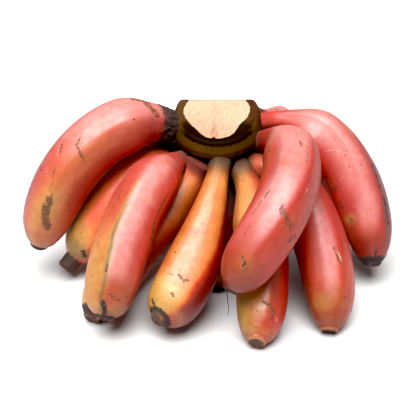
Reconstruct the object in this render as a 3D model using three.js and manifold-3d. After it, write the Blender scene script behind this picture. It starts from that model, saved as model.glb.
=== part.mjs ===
// A hand of red bananas: the piece of stalk it was cut with, and twelve fruits that grow from it in two rows.
// Millimetres and degrees, +Z up. The hand stands on its fruit tips with the stalk's cut face upward,
// and its front, where most of the fruits reach, is toward -Y. The origin is on the floor under the middle.
import * as THREE from 'three';
import { mergeVertices } from 'three/addons/utils/BufferGeometryUtils.js';
import Module from 'manifold-3d';

const wasm = await Module();
wasm.setup();

// Where the stalk's axis meets the cut face's mid-height.
const STALK = new THREE.Vector3(7.5, 19, 119.5);

// The stalk: wall radius at heights above and below STALK, with every ring leaning toward the front,
// the lengthwise cut behind its axis, and the top face, which leans further.
const STALK_WALL = [
  [14, -50],
  [23, -48],
  [28.5, -42],
  [30.5, -34],
  [31, -25],
  [33, -18],
  [36.6, -12.5],
  [37.2, -8],
  [36, -3],
  [33.8, 3],
  [32.4, 10],
  [31.8, 22],
];
const STALK_LEAN = 11;
const STALK_BACK = 13;
const STALK_TOP = 5;
const STALK_TOP_LEAN = 18;
const STALK_SIDES = 48;
const NECK_SWELL = 1.6;
const NECK_SWELL_SPREAD = 10;

// The fruits. `around` is the neck's place round the stalk (0 is the front, positive to +X), `reach` its
// distance from the stalk's axis and `drop` how far below STALK it starts. `heading` is the way it points
// seen from above, at the neck and at the tip, and `pitch` its slope at the neck, the middle and the tip.
// `neck` is the neck's share of the girth, `shoulder` the share of the length where the full girth is
// reached, and `blunt` how long the fruit stays full before its end. `roll` turns its five ridges, and
// `stub` is the length of the dry end beyond the flesh where that is longer than usual.
const FRUITS = {
  banana_left: {
    around: -88, reach: 34.2, drop: 16.1, heading: [-59, -71], pitch: [54, -40, -69],
    length: 176, girth: 46.1, neck: 0.39, shoulder: 0.3, blunt: 5, roll: 20, skin: 0xd9564a,
  },
  banana_left_low: {
    around: -86, reach: 32.1, drop: 35.3, heading: [-65, -50], pitch: [2, -43, -33],
    length: 133, girth: 41.5, neck: 0.35, shoulder: 0.24, blunt: 5.5, roll: 10, stub: 11, skin: 0xd98a3c,
  },
  banana_front_left: {
    around: -52, reach: 32, drop: 29.7, heading: [-34, -16], pitch: [18, -33, -49],
    length: 161, girth: 44, neck: 0.24, shoulder: 0.3, blunt: 7, roll: 66, skin: 0xe0685a,
  },
  banana_front_left_low: {
    around: -26, reach: 31.1, drop: 28.8, heading: [-63, -23], pitch: [-55, -31, -27],
    length: 153, girth: 40, neck: 0.33, shoulder: 0.35, blunt: 5.5, roll: 0, skin: 0xc65a34,
  },
  banana_front: {
    around: 5, reach: 31.5, drop: 25.4, heading: [-7, -39], pitch: [-10, -41, -10],
    length: 144, girth: 46.3, neck: 0.37, shoulder: 0.77, blunt: 7, roll: 17, skin: 0xe58a5c,
  },
  banana_front_low: {
    around: 12, reach: 22, drop: 42, heading: [18, -25], pitch: [-73, -53, -38],
    length: 95, girth: 39.5, neck: 0.42, shoulder: 0.4, blunt: 5.5, roll: 30, skin: 0xa83c2c,
  },
  banana_front_right_low: {
    around: 33, reach: 31.3, drop: 34.3, heading: [22, -13], pitch: [2, -42, -20],
    length: 153, girth: 41.5, neck: 0.34, shoulder: 0.41, blunt: 6, roll: 50, skin: 0xdc8242,
  },
  banana_front_right: {
    around: 73, reach: 33.5, drop: 20, heading: [44, -73], pitch: [38, -21, -58],
    length: 188, girth: 44.5, neck: 0.3, shoulder: 0.38, blunt: 7, roll: 32, skin: 0xe06a66,
  },
  banana_right_low: {
    around: 63, reach: 31.4, drop: 35.7, heading: [55, -9], pitch: [5, -36, -39],
    length: 164.5, girth: 43.2, neck: 0.31, shoulder: 0.37, blunt: 5, roll: -20, skin: 0xd85a3c,
  },
  banana_right: {
    around: 91, reach: 34.7, drop: 6.2, heading: [93, 1], pitch: [16, -46, -51],
    length: 167, girth: 42.8, neck: 0.14, shoulder: 0.31, blunt: 5, roll: 10, skin: 0xdc5c58,
  },
  banana_back_right: {
    around: 109, reach: 34.1, drop: 5.1, heading: [150, 179], pitch: [-23, -47, -80],
    length: 158, girth: 42, neck: 0.25, shoulder: 0.49, blunt: 5.5, roll: 0, skin: 0xd8605a,
  },
  banana_back_left: {
    around: -110, reach: 33, drop: 28, heading: [-116, -113], pitch: [12, -56, -108],
    length: 135, girth: 44, neck: 0.3, shoulder: 0.31, blunt: 5.5, roll: 18, skin: 0xd06844,
  },
};

// Shared shape of every fruit.
const RIDGES = 5;
const RIDGE_DEPTH = 0.05;
const STUB_RADIUS = 7;
const STUB_LENGTH = 2;
const STUB_BASE = 1.2;
const STUB_BASE_LENGTH = 5;
const STUB_ROUNDING = 1.2;
const NECK_SUNK = 10;
const NECK_FLARE = 1.5;
const NECK_FLARE_LENGTH = 6;
const LATE_TAPER = 0.05;

// Fruits press flat where they meet, and every piece keeps this distance from the next. Necks stand clearer.
const CLEARANCE = 0.35;
const NECK_CLEARANCE = 1.2;
const NECK_SHARE = 0.16;

const SPINE_STEPS = 56;
const FRUIT_SIDES = 20;
const FRUIT_RINGS = 19;
const CUTTER = 400;

const radians = THREE.MathUtils.degToRad;
const smoothstep = THREE.MathUtils.smoothstep;

/** The value at `t`, 0 to 1, on the parabola through `start`, `middle` and `end`. */
function throughThree([start, middle, end], t) {
  return start * (1 - t) * (1 - 2 * t) + 4 * middle * t * (1 - t) + end * t * (2 * t - 1);
}

/** Directions at share `t` of a fruit: along it, across it and away from its belly. */
function directionsAt(fruit, t) {
  const heading = radians(THREE.MathUtils.lerp(...fruit.heading, t));
  const pitch = radians(throughThree(fruit.pitch, t));
  const along = new THREE.Vector3(
    Math.cos(pitch) * Math.sin(heading),
    -Math.cos(pitch) * Math.cos(heading),
    Math.sin(pitch),
  );
  const across = new THREE.Vector3(-Math.cos(heading), -Math.sin(heading), 0);
  const back = new THREE.Vector3().crossVectors(across, along);
  return { along, across, back };
}

/** The level direction out of the stalk's axis at a fruit's neck. */
function outwardOf(fruit) {
  const around = radians(fruit.around);
  return new THREE.Vector3(Math.sin(around), -Math.cos(around), 0);
}

/** The fruit's middle line, as points at equal steps from its root on the stalk to its tip. */
function spineOf(fruit) {
  const point = outwardOf(fruit).multiplyScalar(fruit.reach).add(STALK);
  point.z -= fruit.drop;
  const points = [point.clone()];
  for (let step = 0; step < SPINE_STEPS; step += 1) {
    const { along } = directionsAt(fruit, (step + 0.5) / SPINE_STEPS);
    point.addScaledVector(along, fruit.length / SPINE_STEPS);
    points.push(point.clone());
  }
  return points;
}

/** The point of a spine at share `t`; below 0 it goes level into the stalk. */
function spinePoint(fruit, spine, t) {
  if (t <= 0) {
    return spine[0].clone().addScaledVector(outwardOf(fruit), t * fruit.length);
  }
  const place = Math.min(t * SPINE_STEPS, SPINE_STEPS - 1e-6);
  const step = Math.floor(place);
  return spine[step].clone().lerp(spine[step + 1], place - step);
}

/** The fruit's radius over its ridges at share `t` of its length. */
function radiusAt(fruit, t) {
  const along = t * fruit.length;
  const body = THREE.MathUtils.lerp(fruit.neck, 1, smoothstep(t, 0.03, fruit.shoulder));
  const stubLength = fruit.stub ?? STUB_LENGTH;
  const baseLength = STUB_BASE_LENGTH + stubLength;
  const bodyEnd = 1 - stubLength / fruit.length;
  const nearEnd = THREE.MathUtils.clamp((t - 0.5) / (bodyEnd - 0.5), 0, 1);
  const end = Math.sqrt(1 - nearEnd ** fruit.blunt) * (1 - LATE_TAPER * smoothstep(t, 0.55, 0.95));
  const flare = NECK_FLARE * Math.exp(-Math.max(along, 0) / NECK_FLARE_LENGTH);
  const radius = (fruit.girth / 2) * body * end + flare;
  const fromEnd = fruit.length - along;
  if (fromEnd > 2 * baseLength) return radius;
  const stub = STUB_RADIUS * THREE.MathUtils.lerp(1, STUB_BASE, smoothstep(fromEnd, 0, baseLength));
  const fadeIn = 1 - smoothstep(fromEnd, baseLength, 2 * baseLength);
  const blended = (radius ** 4 + (stub * fadeIn) ** 4) ** 0.25;
  return blended - 0.8 * Math.max(STUB_ROUNDING - fromEnd, 0);
}

/** How far a section stands out at angle `turn`: 1 on a ridge, less on the flats between two ridges. */
function ridgeFactor(fruit, turn, t) {
  const ridge = ((1 + Math.cos(RIDGES * (turn - radians(fruit.roll)))) / 2) ** 2;
  return 1 - RIDGE_DEPTH * (1 - ridge) * (1 - smoothstep(t, 0.9, 0.97));
}

const spines = Object.fromEntries(
  Object.entries(FRUITS).map(([name, fruit]) => [name, spineOf(fruit)]),
);

/** Distance from a point to a fruit's round skin, negative inside it, and the spine point it belongs to. */
function skinDistance(name, point) {
  const spine = spines[name];
  const closest = new THREE.Vector3();
  const segment = new THREE.Line3();
  let found = { distance: Infinity, centre: null };
  for (let step = 0; step < SPINE_STEPS; step += 1) {
    segment.set(spine[step], spine[step + 1]);
    segment.closestPointToPoint(point, true, closest);
    const t = (step + segment.closestPointToPointParameter(point, true)) / SPINE_STEPS;
    const distance = closest.distanceTo(point) - radiusAt(FRUITS[name], t);
    if (distance < found.distance) {
      found = { distance, centre: closest.clone() };
    }
  }
  return found;
}

/** Moves a skin point of one fruit, at share `t` of it, back to the flat where a neighbour presses on it. */
function pressBack(name, point, t) {
  const clearance = THREE.MathUtils.lerp(NECK_CLEARANCE, CLEARANCE, smoothstep(t, 0, NECK_SHARE));
  for (const neighbour of Object.keys(FRUITS)) {
    if (neighbour === name) continue;
    for (let pass = 0; pass < 4; pass += 1) {
      const theirs = skinDistance(neighbour, point);
      if (theirs.distance > clearance) break;
      const own = skinDistance(name, point);
      const excess = clearance - (theirs.distance - own.distance);
      if (excess <= 0) break;
      point.lerp(own.centre, Math.min(excess / 1.9 / point.distanceTo(own.centre), 0.5));
    }
  }
}

/** A manifold-3d solid from a closed geometry. */
function solidFrom(geometry) {
  const bare = geometry.clone();
  bare.deleteAttribute('normal');
  bare.deleteAttribute('uv');
  const merged = mergeVertices(bare, 1e-4);
  return new wasm.Manifold(
    new wasm.Mesh({
      numProp: 3,
      vertProperties: new Float32Array(merged.attributes.position.array),
      triVerts: new Uint32Array(merged.index.array),
    }),
  );
}

/** A geometry from a manifold-3d solid. */
function geometryFrom(solid) {
  const { vertProperties, triVerts } = solid.getMesh();
  const geometry = new THREE.BufferGeometry();
  geometry.setAttribute('position', new THREE.BufferAttribute(vertProperties, 3));
  geometry.setIndex(new THREE.BufferAttribute(triVerts, 1));
  geometry.computeVertexNormals();
  return geometry;
}

/** The half space below a height, or beyond a plane, as a large box that is turned and moved into place. */
function cutter(place, rotation = [0, 0, 0]) {
  const box = new THREE.BoxGeometry(CUTTER, CUTTER, CUTTER);
  box.applyMatrix4(new THREE.Matrix4().makeRotationFromEuler(new THREE.Euler(...rotation)));
  box.translate(...place);
  return solidFrom(box);
}

/** The piece of stalk, with its wall `grown` outward by some millimetres. */
function stalkSolid(grown = 0) {
  const first = STALK_WALL[0];
  const last = STALK_WALL[STALK_WALL.length - 1];
  const profile = [
    new THREE.Vector2(0, first[1] - grown),
    ...STALK_WALL.map(([radius, height]) => new THREE.Vector2(radius + grown, height)),
    new THREE.Vector2(0, last[1]),
  ];
  const wall = new THREE.LatheGeometry(profile, STALK_SIDES);
  wall.rotateX(Math.PI / 2);
  const position = wall.attributes.position;
  const point = new THREE.Vector3();
  for (let index = 0; index < position.count; index += 1) {
    point.fromBufferAttribute(position, index);
    const radius = Math.hypot(point.x, point.y);
    point.z += point.y * Math.tan(radians(STALK_LEAN));
    let swell = 0;
    for (const fruit of Object.values(FRUITS)) {
      const around = radians(fruit.around);
      const offX = point.x - radius * Math.sin(around);
      const offY = point.y + radius * Math.cos(around);
      const offZ = point.z + fruit.drop;
      swell += Math.exp(-(offX ** 2 + offY ** 2 + offZ ** 2) / NECK_SWELL_SPREAD ** 2);
    }
    const factor = 1 + (NECK_SWELL * Math.min(swell, 1)) / Math.max(radius, 1);
    position.setXYZ(index, point.x * factor, point.y * factor, point.z);
  }
  wall.translate(...STALK.toArray());
  return solidFrom(wall);
}

/** The stalk as it was cut: along its length behind the axis, and across its top on a lean. */
function cutStalk() {
  const lean = radians(STALK_TOP_LEAN);
  const half = CUTTER / 2;
  const behind = cutter([0, STALK.y + STALK_BACK + half, 0]);
  const above = cutter(
    [STALK.x, STALK.y - half * Math.sin(lean), STALK.z + STALK_TOP + half * Math.cos(lean)],
    [lean, 0, 0],
  );
  return stalkSolid().subtract(behind).subtract(above);
}

/** Shares of the length where a fruit's rings lie, closer together at the shoulder and the end. */
function ringShares(fruit) {
  const stubLength = fruit.stub ?? STUB_LENGTH;
  const bodyEnd = 1 - (stubLength + 1) / fruit.length;
  const shares = [-NECK_SUNK / fruit.length];
  for (let ring = 0; ring < FRUIT_RINGS; ring += 1) {
    const share = ring / (FRUIT_RINGS - 1);
    shares.push(bodyEnd * (0.72 * share + 0.28 * Math.sin((share * Math.PI) / 2)));
  }
  shares.push(1 - Math.max(stubLength / 2, STUB_ROUNDING) / fruit.length, 1);
  return shares;
}

/** One fruit: a straight lathed body, then bent along its spine and pressed against its neighbours. */
function fruitGeometry(name, stalkClearance, floor) {
  const fruit = FRUITS[name];
  const shares = ringShares(fruit);
  const profile = [
    new THREE.Vector2(0, shares[0]),
    ...shares.map((share) => new THREE.Vector2(radiusAt(fruit, share), share)),
    new THREE.Vector2(0, 1),
  ];
  const body = new THREE.LatheGeometry(profile, FRUIT_SIDES, radians(fruit.roll));
  const position = body.attributes.position;
  const straight = new THREE.Vector3();
  for (let index = 0; index < position.count; index += 1) {
    straight.fromBufferAttribute(position, index);
    const { across, back } = directionsAt(fruit, Math.max(straight.y, 0));
    const factor = ridgeFactor(fruit, Math.atan2(straight.x, straight.z), straight.y);
    const point = spinePoint(fruit, spines[name], straight.y);
    point.addScaledVector(across, straight.x * factor);
    point.addScaledVector(back, straight.z * factor);
    if (straight.x ** 2 + straight.z ** 2 > 1 && straight.y >= 0) {
      pressBack(name, point, straight.y);
    }
    position.setXYZ(index, point.x, point.y, point.z);
  }
  return geometryFrom(solidFrom(body).subtract(stalkClearance).subtract(floor));
}

const hand = new THREE.Group();
hand.name = 'banana_hand';

const stalk = new THREE.Mesh(
  geometryFrom(cutStalk()),
  new THREE.MeshStandardMaterial({ color: 0x6b5a34, roughness: 0.75, metalness: 0 }),
);
stalk.name = 'stalk';
hand.add(stalk);

const stalkClearance = stalkSolid(CLEARANCE);
const floor = cutter([0, 0, -CUTTER / 2]);
for (const [name, fruit] of Object.entries(FRUITS)) {
  const mesh = new THREE.Mesh(
    fruitGeometry(name, stalkClearance, floor),
    new THREE.MeshStandardMaterial({ color: fruit.skin, roughness: 0.45, metalness: 0 }),
  );
  mesh.name = name;
  hand.add(mesh);
}

export default hand;
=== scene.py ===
import logging
import math
from dataclasses import dataclass
from enum import Enum
from functools import cached_property

import bpy
import numpy as np
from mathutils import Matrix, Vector, noise

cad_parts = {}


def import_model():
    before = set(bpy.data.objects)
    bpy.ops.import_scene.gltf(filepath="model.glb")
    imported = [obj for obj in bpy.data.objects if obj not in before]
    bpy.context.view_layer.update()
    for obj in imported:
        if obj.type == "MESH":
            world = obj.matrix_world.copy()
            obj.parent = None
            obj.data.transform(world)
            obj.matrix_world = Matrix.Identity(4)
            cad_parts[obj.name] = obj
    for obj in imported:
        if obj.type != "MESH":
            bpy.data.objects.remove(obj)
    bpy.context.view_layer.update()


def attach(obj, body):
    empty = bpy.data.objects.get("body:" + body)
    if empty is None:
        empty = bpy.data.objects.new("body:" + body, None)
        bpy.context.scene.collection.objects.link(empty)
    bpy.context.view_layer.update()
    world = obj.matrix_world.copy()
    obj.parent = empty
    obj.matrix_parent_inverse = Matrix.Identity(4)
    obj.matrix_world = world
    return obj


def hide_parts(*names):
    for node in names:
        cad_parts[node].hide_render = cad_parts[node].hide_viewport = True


Socket = bpy.types.NodeSocket
Span = tuple[float, float]
Triple = tuple[float, float, float]
Arrays = dict[str, np.ndarray]

LOG = logging.getLogger("banana_hand")
MM = 0.001
TINY = 1e-6
FRAY_SPAN = (0.25, 0.75)
# The fruits. Lengths are in millimetres; spans, depths and tapers are shares.
SPINE_STEPS = 56
FINE_STEPS = 224
RIDGES = 5
RIDGE_DEPTH = 0.05
RIDGE_FADE = (0.9, 0.97)
BODY_START = 0.03
LATE_TAPER = 0.05
LATE_TAPER_SPAN = (0.55, 0.95)
STUB_RADIUS = 7
STUB_LENGTH = 2
STUB_BASE = 1.2
STUB_BASE_LENGTH = 5
STUB_ROUNDING = 1.2
STUB_CHAMFER = 0.8
STUB_BLEND = 4
NECK_FLARE = 1.5
NECK_FLARE_LENGTH = 6.0
CLEARANCE = 0.35
NECK_CLEARANCE = 1.2
NECK_SHARE = 0.16
GROWTH_RINGS = 3.2
# The middle of the stalk in the shared frame, and the way from there to where the camera looks.
STALK = np.array([7.5, 19, 119.5])
AIM_OFFSET = np.array([-5.6, -44.0, -62.0])


def smoothstep(value: np.ndarray | float, low: np.ndarray | float, high: np.ndarray | float) -> np.ndarray:
    """The smooth rise from 0 at low to 1 at high."""
    share = np.clip((np.asarray(value, float) - low) / (high - low), 0.0, 1.0)
    return share * share * (3.0 - 2.0 * share)


def bell(value: np.ndarray, middle: float, width: float) -> np.ndarray:
    """A smooth hump, 1 high at its middle."""
    return np.exp(-(((value - middle) / width) ** 2))


def swing(turn: np.ndarray, middle: np.ndarray | float) -> np.ndarray:
    """The turn from middle, in degrees from -180 to 180."""
    return (turn - middle + 180) % 360 - 180


def linear(colour: str) -> np.ndarray:
    """The linear red, green and blue of a colour written as six hex digits."""
    parts = np.array([int(colour[i : i + 2], 16) for i in (0, 2, 4)]) / 255.0
    return np.where(parts <= 0.04045, parts / 12.92, ((parts + 0.055) / 1.055) ** 2.4)


def paint(colour: str) -> tuple[float, float, float, float]:
    """A hex colour as a shader's four numbers."""
    return (*linear(colour), 1.0)


class Tone(Enum):
    """The peel's colours, named as a grower would. Some of them stand in for light and shade, as said at
    each.
    """

    ROSE = "a3423a"
    # Pale pink laid on the top-lit sides of the fruits: painted highlight over the peel's own pink.
    HIGHLIGHT_PINK = "bc7a74"
    MAUVE = "7c4a4a"
    SLATE = "523838"
    CRIMSON = "9a3129"
    RED = "a82a14"
    # Dark red laid on shaded flanks, necks under the stalk and the lower tips: painted shade over the peel's
    # own deep red.
    SHADE_RED = "6e150b"
    EMBER = "9e3f27"
    FLAME = "9c3c30"
    ORANGE = "b0602e"
    AMBER = "b57942"
    PEACH = "b2682f"
    APRICOT = "ae7448"
    GOLD = "ae8947"
    OLIVE = "9a7a3c"
    MOSS = "564826"
    # Bright orange-red for fruits lying in their neighbours' shade: partly the peel's own tone, partly
    # painted light.
    BLAZE = "d8623a"
    RUST = "8a4420"
    TAN = "9a7350"
    STEM = "3a2a12"
    BROWN = "4a2a1a"
    INK = "3a231d"
    # Near black laid where necks run under the stalk and on the hidden fruit: painted shade.
    SHADE = "180c05"
    # Dark maroon for the hidden fruit deep under the others: painted shade.
    SHADED_MAROON = "5a140e"


class MarkKind(Enum):
    """How a blemish looks, which is also the mesh attribute that carries it."""

    SPOT = "spot"
    SCUFF = "scuff"
    CHAR = "char"
    PALE = "pale"


@dataclass(frozen=True)
class Tint:
    """A soft patch of another tone on the peel.

    share and turn are its middle along and round the fruit, long and wide its half sizes there.
    """

    tone: Tone
    share: float
    turn: float
    long: float
    wide: float
    strength: float = 0.8
    soft: float = 0.5

    def weight(self, share: np.ndarray, turn: np.ndarray) -> np.ndarray:
        """How far the patch covers the peel.

        Args:
            share: places along the fruit.
            turn: their turns, in degrees.

        Returns:
            A number for every place, up to the patch's strength.
        """
        away = np.abs(swing(turn, self.turn)) / self.wide
        apart = np.hypot(away, np.abs(share - self.share) / self.long)
        return (1 - smoothstep(apart, 1 - self.soft, 1 + self.soft)) * self.strength


@dataclass(frozen=True)
class Band:
    """A strip of another tone along the fruit, such as one flat between two ridges.

    rows are (share, lowest turn, highest turn, strength), soft is the blur of its edges in degrees and
    fade the blur of its ends as a share of the fruit's length.
    """

    tone: Tone
    rows: tuple[tuple[float, float, float, float], ...]
    soft: float = 10.0
    fade: float = 0.05

    def weight(self, share: np.ndarray, turn: np.ndarray) -> np.ndarray:
        """How far the strip covers the peel.

        Args:
            share: places along the fruit.
            turn: their turns, in degrees.

        Returns:
            A number for every place, up to the strip's strength there.
        """
        rows = np.array(self.rows)
        first, last = rows[0, 0], rows[-1, 0]
        low, high, strength = (np.interp(share, rows[:, 0], rows[:, k]) for k in (1, 2, 3))
        outside = np.abs(swing(turn, (low + high) / 2)) - (high - low) / 2
        inside = 1 - smoothstep(outside, -self.soft / 2, self.soft / 2)
        ends = smoothstep(share, first - self.fade, first) * (1 - smoothstep(share, last, last + self.fade))
        return inside * ends * strength


@dataclass(frozen=True)
class Mark:
    """A blemish along a path of (share, turn in degrees) points, so many millimetres wide."""

    kind: MarkKind
    width: float
    strength: float
    path: tuple[Span, ...]

    def weight(self, grid: Arrays, length: float) -> np.ndarray:
        """How strongly each vertex of a fruit carries the blemish.

        Args:
            grid: the fruit's vertices.
            length: the fruit's length in millimetres.

        Returns:
            A number for every vertex, 0 where the blemish isn't.
        """
        best = np.zeros(len(grid["share"]))
        along = grid["share"] * length
        turn = np.degrees(grid["turn"])
        for (share_a, turn_a), (share_b, turn_b) in zip(self.path, self.path[1:] or self.path):
            width = math.radians(turn_b - turn_a) * grid["radius"]
            reach = (share_b - share_a) * length
            x = np.radians(swing(turn, (turn_a + turn_b) / 2)) * grid["radius"] + width / 2
            y = along - share_a * length
            size = np.maximum(width * width + reach * reach, TINY)
            part = np.clip((x * width + y * reach) / size, 0, 1)
            distance = np.hypot(x - part * width, y - part * reach)
            best = np.maximum(best, self.strength * (1 - smoothstep(distance / self.width, 0.0, 1.0)))
        return best


def spot(width: float, strength: float, *path: Span) -> Mark:
    """A dark spot with a tan rim."""
    return Mark(MarkKind.SPOT, width, strength, path)


def scuff(width: float, strength: float, *path: Span) -> Mark:
    """A rubbed brown streak."""
    return Mark(MarkKind.SCUFF, width, strength, path)


def char(width: float, strength: float, *path: Span) -> Mark:
    """A dried black crust."""
    return Mark(MarkKind.CHAR, width, strength, path)


def pale(width: float, strength: float, *path: Span) -> Mark:
    """A pale scratch."""
    return Mark(MarkKind.PALE, width, strength, path)


@dataclass(frozen=True)
class Form:
    """The shape of one fruit: where it leaves the stalk, how it bends and how thick it is.

    It leaves the stalk at the angle around, reach outside its axis and drop under its middle. heading is
    its level direction at neck and tip, pitch its slope at neck, middle and tip. girth is its thickness,
    neck the neck's share of that, shoulder where it has its full girth, blunt how full its end is, roll
    the turn of its ridges and stub the length of the dry stub. Lengths are in millimetres, turns in degrees.
    """

    around: float
    reach: float
    drop: float
    heading: Span
    pitch: Triple
    length: float
    girth: float
    neck: float
    shoulder: float
    blunt: float
    roll: float
    stub: float = STUB_LENGTH

    def directions(self, share: np.ndarray) -> tuple[np.ndarray, np.ndarray, np.ndarray]:
        """Directions along the fruit, across it and away from its belly.

        Args:
            share: places along the middle line, 0 at the neck and 1 at the tip.

        Returns:
            Three arrays of unit vectors.
        """
        share = np.asarray(share, float)
        start, middle, end = self.pitch
        heading = np.radians(self.heading[0] + (self.heading[1] - self.heading[0]) * share)
        pitch = np.radians(
            start * (1 - share) * (1 - 2 * share)
            + 4 * middle * share * (1 - share)
            + end * share * (2 * share - 1)
        )
        along = np.stack(
            [np.cos(pitch) * np.sin(heading), -np.cos(pitch) * np.cos(heading), np.sin(pitch)], -1
        )
        across = np.stack([-np.cos(heading), -np.sin(heading), np.zeros_like(heading)], -1)
        return along, across, np.cross(across, along)

    def outward(self) -> np.ndarray:
        """The level direction out of the stalk at the neck."""
        around = math.radians(self.around)
        return np.array([math.sin(around), -math.cos(around), 0.0])

    def spine(self, steps: int) -> np.ndarray:
        """The middle line.

        Args:
            steps: how many steps it has.

        Returns:
            Its steps + 1 points, in millimetres.
        """
        root = STALK + self.outward() * self.reach - np.array([0.0, 0.0, self.drop])
        along, _, _ = self.directions((np.arange(steps) + 0.5) / steps)
        moves = np.cumsum(along * self.length / steps, axis=0)
        return np.vstack([root, root + moves])

    def centre(self, share: np.ndarray, spine: np.ndarray) -> np.ndarray:
        """Points of the middle line; below share 0 it goes level into the stalk.

        Args:
            share: places along the fruit.
            spine: its middle line.

        Returns:
            The points, in millimetres.
        """
        steps = len(spine) - 1
        place = np.clip(share, 0, 1) * steps
        points = np.stack([np.interp(place, np.arange(steps + 1), spine[:, k]) for k in range(3)], -1)
        return points + self.outward() * (np.minimum(share, 0) * self.length)[..., None]

    def radius(self, share: np.ndarray) -> np.ndarray:
        """The radius over the ridges.

        Args:
            share: places along the fruit.

        Returns:
            The radii, in millimetres.
        """
        along = share * self.length
        body = self.neck + (1 - self.neck) * smoothstep(share, BODY_START, self.shoulder)
        base_length = STUB_BASE_LENGTH + self.stub
        body_end = 1 - self.stub / self.length
        near_end = np.clip((share - 0.5) / (body_end - 0.5), 0, 1)
        end = np.sqrt(1 - near_end**self.blunt) * (1 - LATE_TAPER * smoothstep(share, *LATE_TAPER_SPAN))
        flare = NECK_FLARE * np.exp(-np.maximum(along, 0) / NECK_FLARE_LENGTH)
        radius = self.girth / 2 * body * end + flare
        from_end = self.length - along
        stub = STUB_RADIUS * (1 + (STUB_BASE - 1) * smoothstep(from_end, 0, base_length))
        fade = 1 - smoothstep(from_end, base_length, 2 * base_length)
        blended = (radius**STUB_BLEND + (stub * fade) ** STUB_BLEND) ** (1 / STUB_BLEND)
        return blended - STUB_CHAMFER * np.maximum(STUB_ROUNDING - from_end, 0)

    def ridge(self, turn: np.ndarray) -> np.ndarray:
        """1 on a ridge and 0 in the middle of the flat between two ridges."""
        return ((1 + np.cos(RIDGES * (turn - math.radians(self.roll)))) / 2) ** 2

    def skin_distance(self, points: np.ndarray, spine: np.ndarray) -> tuple[np.ndarray, np.ndarray]:
        """How far points lie outside this fruit's round skin.

        Args:
            points: an array of places, in millimetres.
            spine: this fruit's middle line.

        Returns:
            The distances, negative inside, and the middle-line point each belongs to.
        """
        best = np.full(len(points), np.inf)
        centres = np.zeros_like(points)
        steps = len(spine) - 1
        for step in range(steps):
            start, move = spine[step], spine[step + 1] - spine[step]
            part = np.clip((points - start) @ move / (move @ move), 0, 1)
            nearest = start + part[:, None] * move
            distance = np.linalg.norm(points - nearest, axis=1) - self.radius((step + part) / steps)
            better = distance < best
            best[better] = distance[better]
            centres[better] = nearest[better]
        return best, centres


FORMS: dict[str, Form] = {
    "banana_left": Form(-88, 34.2, 16.1, (-59, -71), (54, -40, -69), 176, 46.1, 0.39, 0.3, 5, 20),
    "banana_left_low": Form(-86, 32.1, 35.3, (-65, -50), (2, -43, -33), 133, 41.5, 0.35, 0.24, 5.5, 10, 11),
    "banana_front_left": Form(-52, 32, 29.7, (-34, -16), (18, -33, -49), 161, 44, 0.24, 0.3, 7, 66),
    "banana_front_left_low": Form(-26, 31.1, 28.8, (-63, -23), (-55, -31, -27), 153, 40, 0.33, 0.35, 5.5, 0),
    "banana_front": Form(5, 31.5, 25.4, (-7, -39), (-10, -41, -10), 144, 46.3, 0.37, 0.77, 7, 17),
    "banana_front_low": Form(12, 22, 42, (18, -25), (-73, -53, -38), 95, 39.5, 0.42, 0.4, 5.5, 30),
    "banana_front_right_low": Form(33, 31.3, 34.3, (22, -13), (2, -42, -20), 153, 41.5, 0.34, 0.41, 6, 50),
    "banana_front_right": Form(73, 33.5, 20, (44, -73), (38, -21, -58), 188, 44.5, 0.3, 0.38, 7, 32),
    "banana_right_low": Form(63, 31.4, 35.7, (55, -9), (5, -36, -39), 164.5, 43.2, 0.31, 0.37, 5, -20),
    "banana_right": Form(91, 34.7, 6.2, (93, 1), (16, -46, -51), 167, 42.8, 0.14, 0.31, 5, 10),
    "banana_back_right": Form(109, 34.1, 5.1, (150, 179), (-23, -47, -80), 158, 42, 0.25, 0.49, 5.5, 0),
    "banana_back_left": Form(-110, 33, 28, (-116, -113), (12, -56, -108), 135, 44, 0.3, 0.31, 5.5, 18),
}
SPINES: dict[str, np.ndarray] = {name: form.spine(SPINE_STEPS) for name, form in FORMS.items()}

@dataclass(frozen=True)
class Grain:
    """Fractal noise: its scale, its detail and how rough it is."""

    scale: float
    detail: float = 3.0
    rough: float = 0.55


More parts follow.
